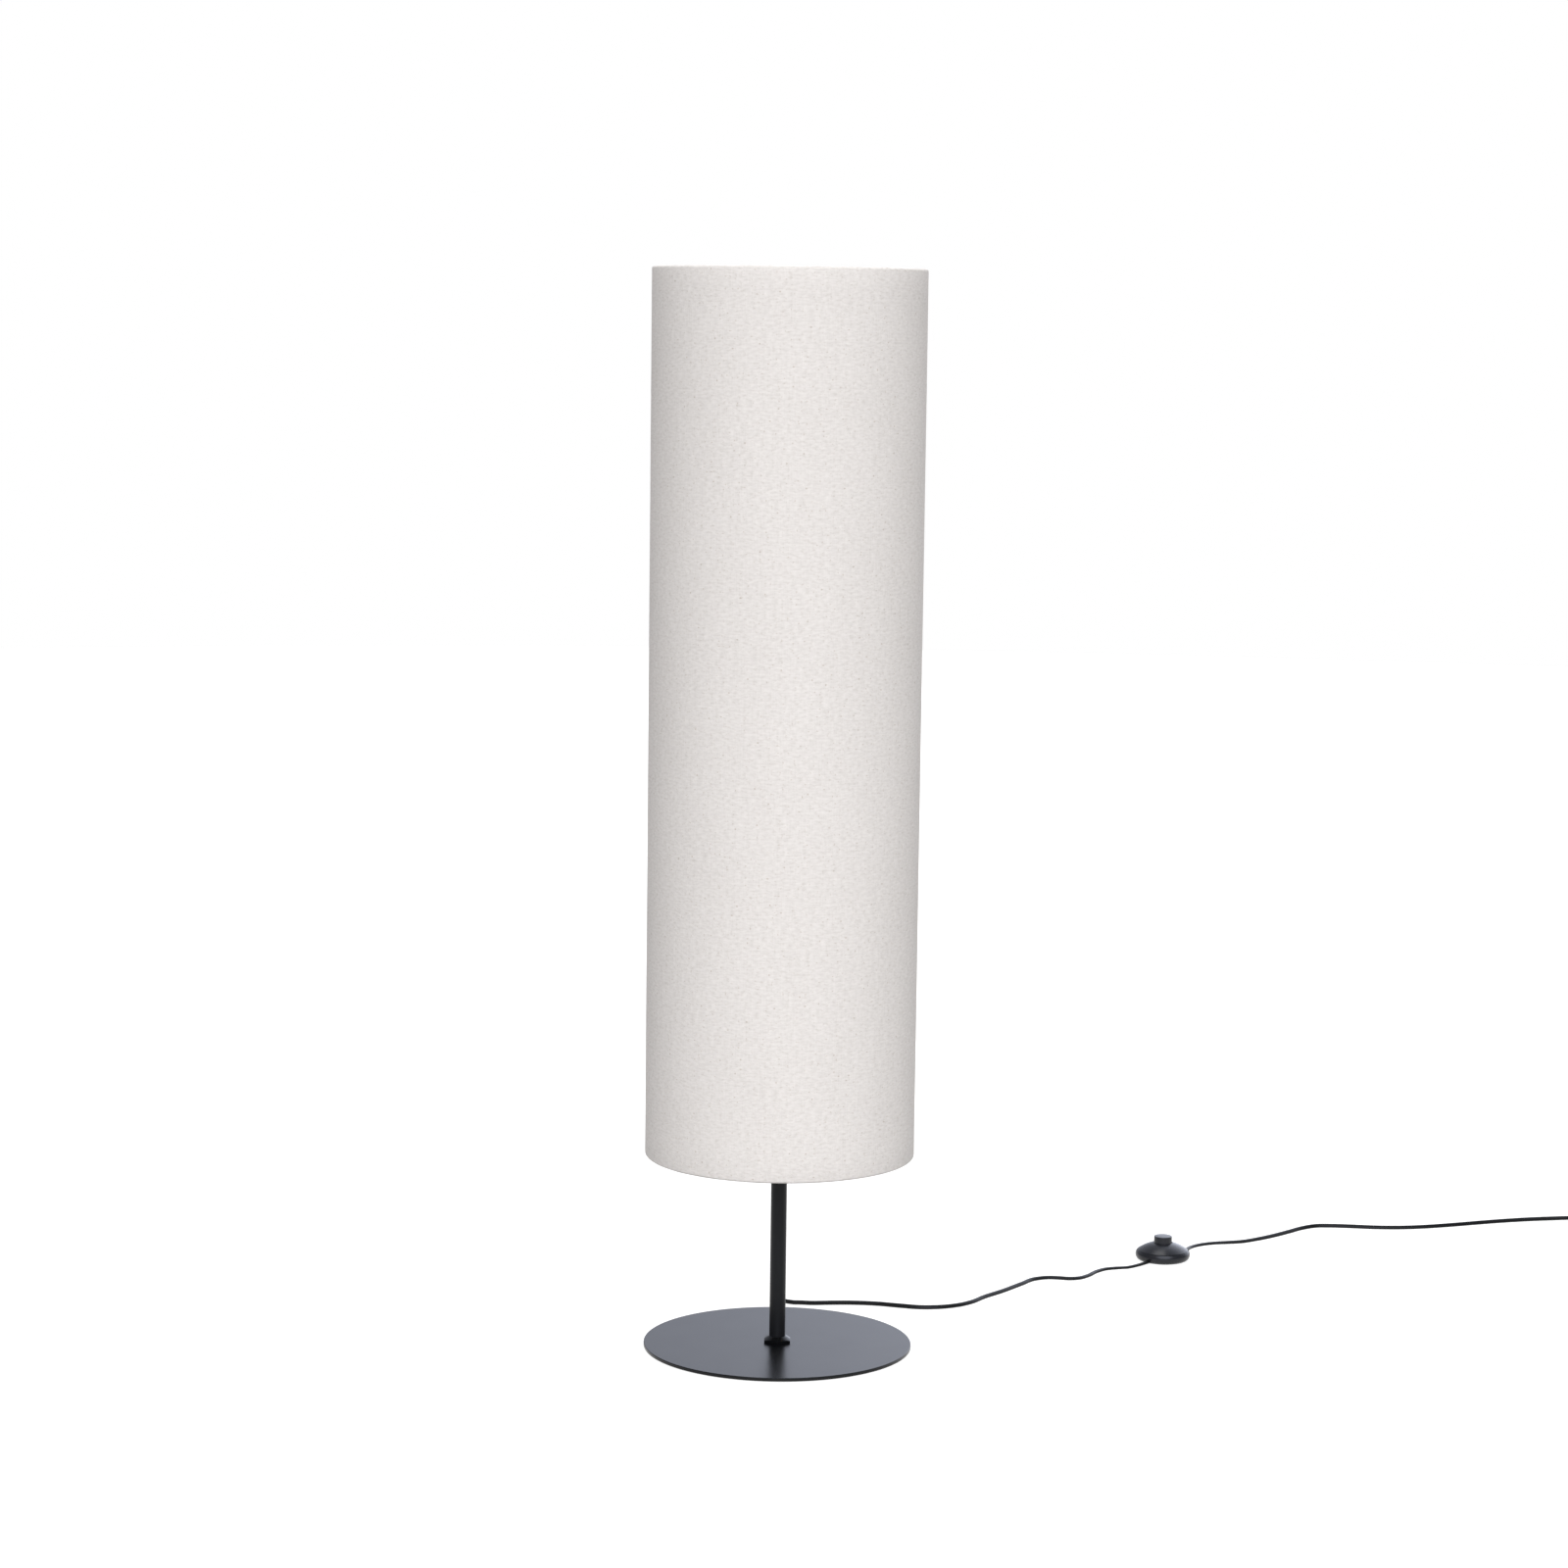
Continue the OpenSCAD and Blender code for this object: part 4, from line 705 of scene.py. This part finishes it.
def linen_cover(material):
    """The sheet as a flat grid, wrapped round the frame row by row, and given its thickness
    by a Solidify modifier. It waves by a tenth of a millimetre between the rings and
    puckers as little near them, as glued linen does."""
    columns, rows = cloth_columns(), cloth_rows()
    bm = bmesh.new()
    bmesh.ops.create_grid(bm, x_segments=len(columns) - 1, y_segments=len(rows) - 1, size=1,
                          calc_uvs=False)
    uv = bm.loops.layers.uv.verify()
    place = {vert: (round((vert.co.x + 1) / 2 * (len(columns) - 1)),
                    round((vert.co.y + 1) / 2 * (len(rows) - 1))) for vert in bm.verts}
    slit_row = HEM_ROWS + FOLD_ROWS + WALL_ROWS + FOLD_ROWS * SLIT_FROM
    slit_faces = []
    for face in bm.faces:
        face.smooth = True
        spots = [place[v] for v in face.verts]
        if min(j for _, j in spots) >= slit_row and all(at_slit(columns[i]) for i, _ in spots):
            slit_faces.append(face)
        for loop in face.loops:
            i, j = place[loop.vert]
            loop[uv].uv = (columns[i], rows[j][2])
    for vert, (i, j) in place.items():
        u = columns[i]
        r, z, _ = rows[j]
        angle = math.pi / 2 + u / CLOTH_R
        if r > SHADE_R - FOLD_R:
            spot = Vector((math.cos(angle) * WAVES_ROUND, math.sin(angle) * WAVES_ROUND,
                           z / WAVE_H))
            r += WAVE * noise.noise(spot) * from_edges(z, WAVE_FROM, WAVE_GROWS)
            spot = Vector((u / PUCKER_W, z / PUCKER_H, PUCKER_SEED))
            r += PUCKER * noise.noise(spot) * (1 - from_edges(z, 0, PUCKER_REACH))
        if r > SHADE_R - FOLD_R:
            over = min(1.0, max(0.0, (u - (CLOTH_W - LAP - LAP_RISE)) / LAP_RISE))
            r += over * (LINEN_T + LAP_GAP)
        vert.co = (r * math.cos(angle) * MM, r * math.sin(angle) * MM, z * MM)
    bmesh.ops.delete(bm, geom=slit_faces, context="FACES")
    piece = new_piece("linen_cover", bm, material, turn_out=False)
    thick = piece.modifiers.new("cloth thickness", "SOLIDIFY")
    thick.thickness = LINEN_T * MM
    thick.offset = 0.0
    return piece, rows[-1][2]


def linen():
    """Off-white plain-woven linen. Thicker places in the yarn, called slubs, run as short
    level streaks, others upright, and a few husk flecks are left in it. Threads are 0.5 mm
    apart, too fine to show, so the streaks are drawn 2.5 mm high and 1.6 mm wide."""
    material, tree, shader = new_finish("off_white_linen", {
        "Roughness": 0.9, "IOR": 1.45, "Specular IOR Level": 0.25})
    uv = node(tree, "ShaderNodeTexCoord").outputs["UV"]

    def streaks(width, height, detail, seed):
        """Noise stretched to the size of a thread's thick place, in mm."""
        spread = node(tree, "ShaderNodeMapping", {
            "Vector": uv, "Scale": (1 / width, 1 / height, 1.0),
            "Location": (seed, seed * 1.7, 0)})
        return node(tree, "ShaderNodeTexNoise", {
            "Vector": spread.outputs[0], "Scale": 1.0, "Detail": detail},
            noise_dimensions="2D").outputs["Fac"]

    slubs = streaks(7, 2.5, 1.5, 3.1)
    upright = streaks(1.6, 16, 1.0, 11.3)
    flecks = streaks(5.5, 2.8, 1.0, 27.9)
    husks = streaks(3.0, 2.6, 0.0, 41.2)
    broad = streaks(55, 90, 2.0, 63.5)
    colour = node(tree, "ShaderNodeMix", {
        "Factor": slubs, "A": linear("#d6d1ce"), "B": linear("#f5f1ef")}, data_type="RGBA")
    # The upright yarn and broad clouds each tint what is below by a share.
    for share, pattern, low, high in ((0.22, upright, "#cfcac6", "#fbf7f5"),
                                      (0.15, broad, "#d8d3d0", "#f6f2f0")):
        tone = node(tree, "ShaderNodeMix", {
            "Factor": pattern, "A": linear(low), "B": linear(high)}, data_type="RGBA")
        colour = node(tree, "ShaderNodeMix", {
            "Factor": share, "A": colour.outputs["Result"], "B": tone.outputs["Result"]},
            data_type="RGBA")
    # Grey flecks and brown husks lie on top, only where their patterns are strongest.
    for pattern, start, full, most, dark in ((flecks, 0.55, 0.9, 0.3, "#b9b1a8"),
                                             (husks, 0.77, 0.93, 0.4, "#a08b73")):
        here = node(tree, "ShaderNodeMapRange", {
            "Value": pattern, "From Min": start, "From Max": full,
            "To Min": 0.0, "To Max": most})
        colour = node(tree, "ShaderNodeMix", {
            "Factor": here.outputs["Result"], "A": colour.outputs["Result"],
            "B": linear(dark)}, data_type="RGBA")
    relief = node(tree, "ShaderNodeMath", {0: slubs, 1: upright}, operation="ADD")
    bump = node(tree, "ShaderNodeBump", {
        "Height": relief.outputs[0], "Strength": 0.2, "Distance": 0.15 * MM})
    tree.links.new(colour.outputs["Result"], shader.inputs["Base Color"])
    tree.links.new(bump.outputs["Normal"], shader.inputs["Normal"])
    return material


cover, cloth_l = linen_cover(linen())
stand_in(cover, "linen", "shade_cover")


# ---- Lamp holders and bulbs ----
# Two black steel arms reach out from the pole, and each carries a moulded holder with a
# ceramic core, brass contacts and a threaded brass shell. The bulbs are opal plastic
# globes on a white neck with a rolled aluminium cap.

dress(black_coat, "lower_arm", "upper_arm")
dress(moulded("black_holder_plastic", "#131314", "#191a1b", 0.35, 0.6),
      "lower_holder_cap", "upper_holder_cap")
dress(moulded("unglazed_holder_ceramic", "#e8e2d6", "#dad3c5", 0.75, 0.9),
      "lower_holder_core", "upper_holder_core")
brass = plain_metal("turned_brass", "#d9b56a", "#b8924a", 0.26, 0.5)
dress(brass, "holder_contacts", "lower_holder_shell", "upper_holder_shell",
      "contact_ring", "switch_terminals")
dress(plain_metal("rolled_aluminium", "#d5d7da", "#bfc2c6", 0.32, 0.4),
      "lower_bulb_cap", "upper_bulb_cap")
dress(moulded("white_bulb_neck", "#f0efec", "#e6e5e1", 0.35, 0.7),
      "lower_bulb_neck", "upper_bulb_neck")
opal = moulded("opal_bulb_plastic", "#f6f3ea", "#efece2", 0.3, 1.6)
smoothed("lower_globe", "lower_bulb_globe", opal)
smoothed("upper_globe", "upper_bulb_globe", opal)


# ---- Foot switch ----
# Two charcoal plastic halves, screwed together, with a large push button in the middle.
# Inside are a moulded carrier, two terminals, the cord's wires and its clamps, and the
# button's brass ring and steel spring.

SPRING_D = 8.4
SPRING_WIRE_D = 0.8
SPRING_TURNS = 5
SPRING_STEPS = 24

case_plastic = moulded("grained_charcoal_plastic", "#1c1d21", "#222328", 0.26, 0.9, 0.28)
switch_case = [smoothed("switch_lower_half", "switch_base", case_plastic),
               smoothed("switch_upper_half", "switch_cover", case_plastic)]
push_button = smoothed("push_button", "switch_button", moulded(
    "satin_charcoal_button", "#1c1d22", "#202127", 0.3, 0.9, 0.28), "button")
dress(moulded("cream_carrier_plastic", "#d9d3c2", "#cfc8b5", 0.45, 0.8),
      "switch_carrier", "cord_clamps")

spring_low, spring_high = (corner[2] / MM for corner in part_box("button_spring"))
rise = spring_high - spring_low - SPRING_WIRE_D
spring_line = []
for k in range(SPRING_TURNS * SPRING_STEPS + 1):
    a = math.radians(SWITCH_TURN) + math.tau * k / SPRING_STEPS
    spring_line.append((
        SWITCH_X + SPRING_D / 2 * math.cos(a), SWITCH_Y + SPRING_D / 2 * math.sin(a),
        spring_low + SPRING_WIRE_D / 2 + rise * k / (SPRING_TURNS * SPRING_STEPS), 0))
spring_bm = bmesh.new()
sweep(spring_bm, spring_line, obround(SPRING_WIRE_D, SPRING_WIRE_D, 4))
spring = new_piece("return_spring", spring_bm, plain_metal(
    "drawn_spring_steel", "#b7b9be", "#9c9ea3", 0.28, 0.3))
stand_in(spring, "spring_steel", "button_spring")
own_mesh(spring)

# The cord is put on the lamp's body here, after the switch that rides on its end.
declare_cord(lamp_cord, lamp_line, exit=(0.0, CORD_EXIT_Y * MM, CORD_EXIT_Z * MM),
             far_end="fitting", lay="loose",
             with_pieces=switch_case + [push_button, spring] + [NODES[name] for name in (
                 "contact_ring", "switch_carrier", "switch_terminals", "switch_cores",
                 "switch_screws", "cord_clamps")])


# ---- Coil tie ----
# A reusable black nylon tie holds the coil together: a smooth band, drawn tight through a
# small moulded head.

TIE_ANGLE = 215
TIE_IN_R = 22.875
TIE_OUT_R = 34.125
TIE_TOP = 13.0
TIE_W = 5
TIE_T = 0.8
TIE_CORNER = 2.4
TIE_HEAD = (4.5, 7, 6.5)
TIE_HEAD_OUT = 1.6
TIE_HEAD_Z = 6.2
TIE_HEAD_EDGE = 1.0


def block(bm, size, middle):
    """Add a block of that size round its middle, in mm, and return its corners."""
    corners = bmesh.ops.create_cube(bm, size=1)["verts"]
    bmesh.ops.scale(bm, vec=[side * MM for side in size], verts=corners)
    bmesh.ops.translate(bm, vec=[place * MM for place in middle], verts=corners)
    return corners


def round_off(bm, edges, radius, segments):
    """Bevel edges to a radius in mm."""
    bmesh.ops.bevel(bm, geom=edges, offset=radius * MM, offset_type="OFFSET",
                    segments=segments, affect="EDGES", profile=0.5, material=-1)


def coil_tie(material):
    """A block the size of the coil's section is given round edges, and its skin becomes the
    band; the head is a small bevelled block on the band's outer side."""
    bm = bmesh.new()
    x0, x1 = TIE_IN_R + TIE_T, TIE_OUT_R - TIE_T
    z0, z1 = TIE_T, TIE_TOP - TIE_T
    block(bm, (x1 - x0, TIE_W, z1 - z0), ((x0 + x1) / 2, 0, (z0 + z1) / 2))
    along_y = [e for e in bm.edges if abs((e.verts[0].co - e.verts[1].co).y) > TIE_W / 2 * MM]
    round_off(bm, along_y, TIE_CORNER, 5)
    ends = [f for f in bm.faces if abs(f.normal.y) > 0.9]
    bmesh.ops.delete(bm, geom=ends, context="FACES_ONLY")
    bmesh.ops.recalc_face_normals(bm, faces=bm.faces)
    bmesh.ops.solidify(bm, geom=bm.faces[:], thickness=-TIE_T * MM)
    head = block(bm, TIE_HEAD, (TIE_OUT_R + TIE_HEAD_OUT, 0, TIE_HEAD_Z))
    round_off(bm, list({e for v in head for e in v.link_edges}), TIE_HEAD_EDGE, 3)
    for face in bm.faces:
        face.smooth = True
    bmesh.ops.rotate(bm, cent=(0, 0, 0), verts=bm.verts,
                     matrix=Matrix.Rotation(math.radians(TIE_ANGLE), 3, "Z"))
    bmesh.ops.translate(bm, vec=(COIL_X * MM, COIL_Y * MM, 0), verts=bm.verts)
    return new_piece("coil_tie", bm, material)


nylon = moulded("black_nylon", "#131314", "#1c1c1d", 0.4, 0.7)
tie = stand_in(coil_tie(nylon), "black_rubber", "cord_tie")


# ---- Plug ----
# A flat two-pin plug moulded onto the cord's end, with a tapered sleeve behind it and
# nickel-plated pins.

dress(moulded("black_plug_plastic", "#131314", "#1a1a1b", 0.42, 0.8),
      "plug_sleeve", "plug_body")
dress(plain_metal("nickel_plate", "#d4d1c9", "#bebab0", 0.2, 0.4), "plug_pins")

declare_cord(plug_cord, plug_line, exit=tuple(v * MM for v in in_switch(SWITCH_END)[:3]),
             far_end="plug", lay="coiled", with_pieces=[tie] + [
                 NODES[name] for name in ("plug_sleeve", "plug_body", "plug_pins")])


# ---- Studio ----
# A plain pale floor; soft light all round, a large soft box high in front, a weaker one
# behind and one overhead. The camera sees plain white, and mirrored rays see a backdrop
# that is brighter on the right.

FLOOR_R = 9.0
FLOOR_GREY = 0.42
FLOOR_LIFT = 0.82
ROUND_LIGHT = 0.36
KEY_TURN = 3
KEY_UP = 38
KEY_HALF = 28
KEY_EDGE = 6
KEY_LIGHT = 3.6
FILL_TURN = 180
FILL_UP = 40
FILL_HALF = 30
FILL_EDGE = 10
FILL_LIGHT = 1.3
MIRRORED_FRONT = 0.32
MIRROR_TINT = (0.90, 0.95, 1.10, 1.0)
BACKDROP_REACH = (0.1, 0.85)
BACKDROP_SIDES = (-0.2, 0.3)
BACKDROP_LIGHT = (0.4, 2.3)
SOFTBOX_PLACE = (0.22, 0.9, 2.6)
SOFTBOX_SIZE = 1.0
SOFTBOX_POWER = 11.0

floor_bm = bmesh.new()
bmesh.ops.create_circle(floor_bm, cap_ends=True, radius=FLOOR_R, segments=64)
floor_mesh = bpy.data.meshes.new("floor")
floor_bm.to_mesh(floor_mesh)
floor_bm.free()
floor = bpy.data.objects.new("floor", floor_mesh)
scene.collection.objects.link(floor)


def seen_as_white(tree):
    """1 for rays that show the background itself: the camera's, mirrored and refracted."""
    path = node(tree, "ShaderNodeLightPath")
    plain = node(tree, "ShaderNodeMath", {
        0: path.outputs["Is Camera Ray"], 1: path.outputs["Is Glossy Ray"]}, operation="MAXIMUM")
    return node(tree, "ShaderNodeMath", {
        0: plain.outputs[0], 1: path.outputs["Is Transmission Ray"]}, operation="MAXIMUM")


floor_paint = bpy.data.materials.new("pale_floor")
floor_paint.use_nodes = True
tree = floor_paint.node_tree
tree.nodes.clear()
matt = node(tree, "ShaderNodeBsdfDiffuse", {"Color": (FLOOR_GREY, FLOOR_GREY, FLOOR_GREY, 1.0)})
lift = node(tree, "ShaderNodeMath", {
    0: seen_as_white(tree).outputs[0], 1: FLOOR_LIFT}, operation="MULTIPLY")
glow = node(tree, "ShaderNodeEmission", {"Strength": lift.outputs[0]})
both = node(tree, "ShaderNodeAddShader", {0: matt.outputs[0], 1: glow.outputs[0]})
node(tree, "ShaderNodeOutputMaterial", {"Surface": both.outputs[0]})
floor_mesh.materials.append(floor_paint)

scene.view_settings.view_transform = "Standard"
world = bpy.data.worlds.new("studio")
scene.world = world
world.use_nodes = True
tree = world.node_tree
tree.nodes.clear()
toward = node(tree, "ShaderNodeTexCoord").outputs["Generated"]
path = node(tree, "ShaderNodeLightPath")


def soft_box(turn, up, half, edge, strength):
    """A round bright patch of the sky, turned from the front and raised, in degrees. Half is
    half the angle that it spans, and edge is how far its soft edge reaches to either side."""
    turn, up = math.radians(turn), math.radians(up)
    way = (math.sin(turn) * math.cos(up), -math.cos(turn) * math.cos(up), math.sin(up))
    facing = node(tree, "ShaderNodeVectorMath", {0: toward, 1: way}, operation="DOT_PRODUCT")
    return node(tree, "ShaderNodeMapRange", {
        "Value": facing.outputs["Value"],
        "From Min": math.cos(math.radians(half + edge)),
        "From Max": math.cos(math.radians(half - edge)),
        "To Min": 0.0, "To Max": strength}, interpolation_type="SMOOTHSTEP")


key = soft_box(KEY_TURN, KEY_UP, KEY_HALF, KEY_EDGE, KEY_LIGHT)
fill = soft_box(FILL_TURN, FILL_UP, FILL_HALF, FILL_EDGE, FILL_LIGHT)
round_and_fill = node(tree, "ShaderNodeMath", {
    0: fill.outputs["Result"], 1: ROUND_LIGHT}, operation="ADD")
parts = node(tree, "ShaderNodeSeparateXYZ", {"Vector": toward})
behind = node(tree, "ShaderNodeMapRange", {
    "Value": parts.outputs["Y"], "From Min": BACKDROP_REACH[0], "From Max": BACKDROP_REACH[1],
    "To Min": 0.0, "To Max": 1.0}, interpolation_type="SMOOTHSTEP")
to_right = node(tree, "ShaderNodeMapRange", {
    "Value": parts.outputs["X"], "From Min": BACKDROP_SIDES[0], "From Max": BACKDROP_SIDES[1],
    "To Min": BACKDROP_LIGHT[0], "To Max": BACKDROP_LIGHT[1]}, interpolation_type="SMOOTHSTEP")
backdrop = node(tree, "ShaderNodeMath", {
    0: behind.outputs["Result"], 1: to_right.outputs["Result"]}, operation="MULTIPLY")
mirrored = node(tree, "ShaderNodeMath", {
    0: backdrop.outputs[0], 1: MIRRORED_FRONT}, operation="ADD")
gloss = node(tree, "ShaderNodeMath", {
    0: path.outputs["Is Glossy Ray"], 1: path.outputs["Is Transmission Ray"]},
    operation="MAXIMUM")
level = node(tree, "ShaderNodeMix", {
    "Factor": gloss.outputs[0], "A": round_and_fill.outputs[0], "B": mirrored.outputs[0]},
    data_type="FLOAT")
lit = node(tree, "ShaderNodeMath", {
    0: level.outputs["Result"], 1: key.outputs["Result"]}, operation="ADD")
strength = node(tree, "ShaderNodeMix", {
    "Factor": path.outputs["Is Camera Ray"], "A": lit.outputs[0], "B": 1.0},
    data_type="FLOAT")
tint = node(tree, "ShaderNodeMix", {
    "Factor": gloss.outputs[0], "A": (1.0, 1.0, 1.0, 1.0), "B": MIRROR_TINT},
    data_type="RGBA")
sky = node(tree, "ShaderNodeBackground", {
    "Color": tint.outputs["Result"], "Strength": strength.outputs["Result"]})
node(tree, "ShaderNodeOutputWorld", {"Surface": sky.outputs[0]})

softbox_data = bpy.data.lights.new("overhead_softbox", "AREA")
softbox_data.shape = "SQUARE"
softbox_data.size = SOFTBOX_SIZE
softbox_data.energy = SOFTBOX_POWER
softbox = bpy.data.objects.new("overhead_softbox", softbox_data)
softbox.matrix_world = Matrix.Translation(SOFTBOX_PLACE)
scene.collection.objects.link(softbox)
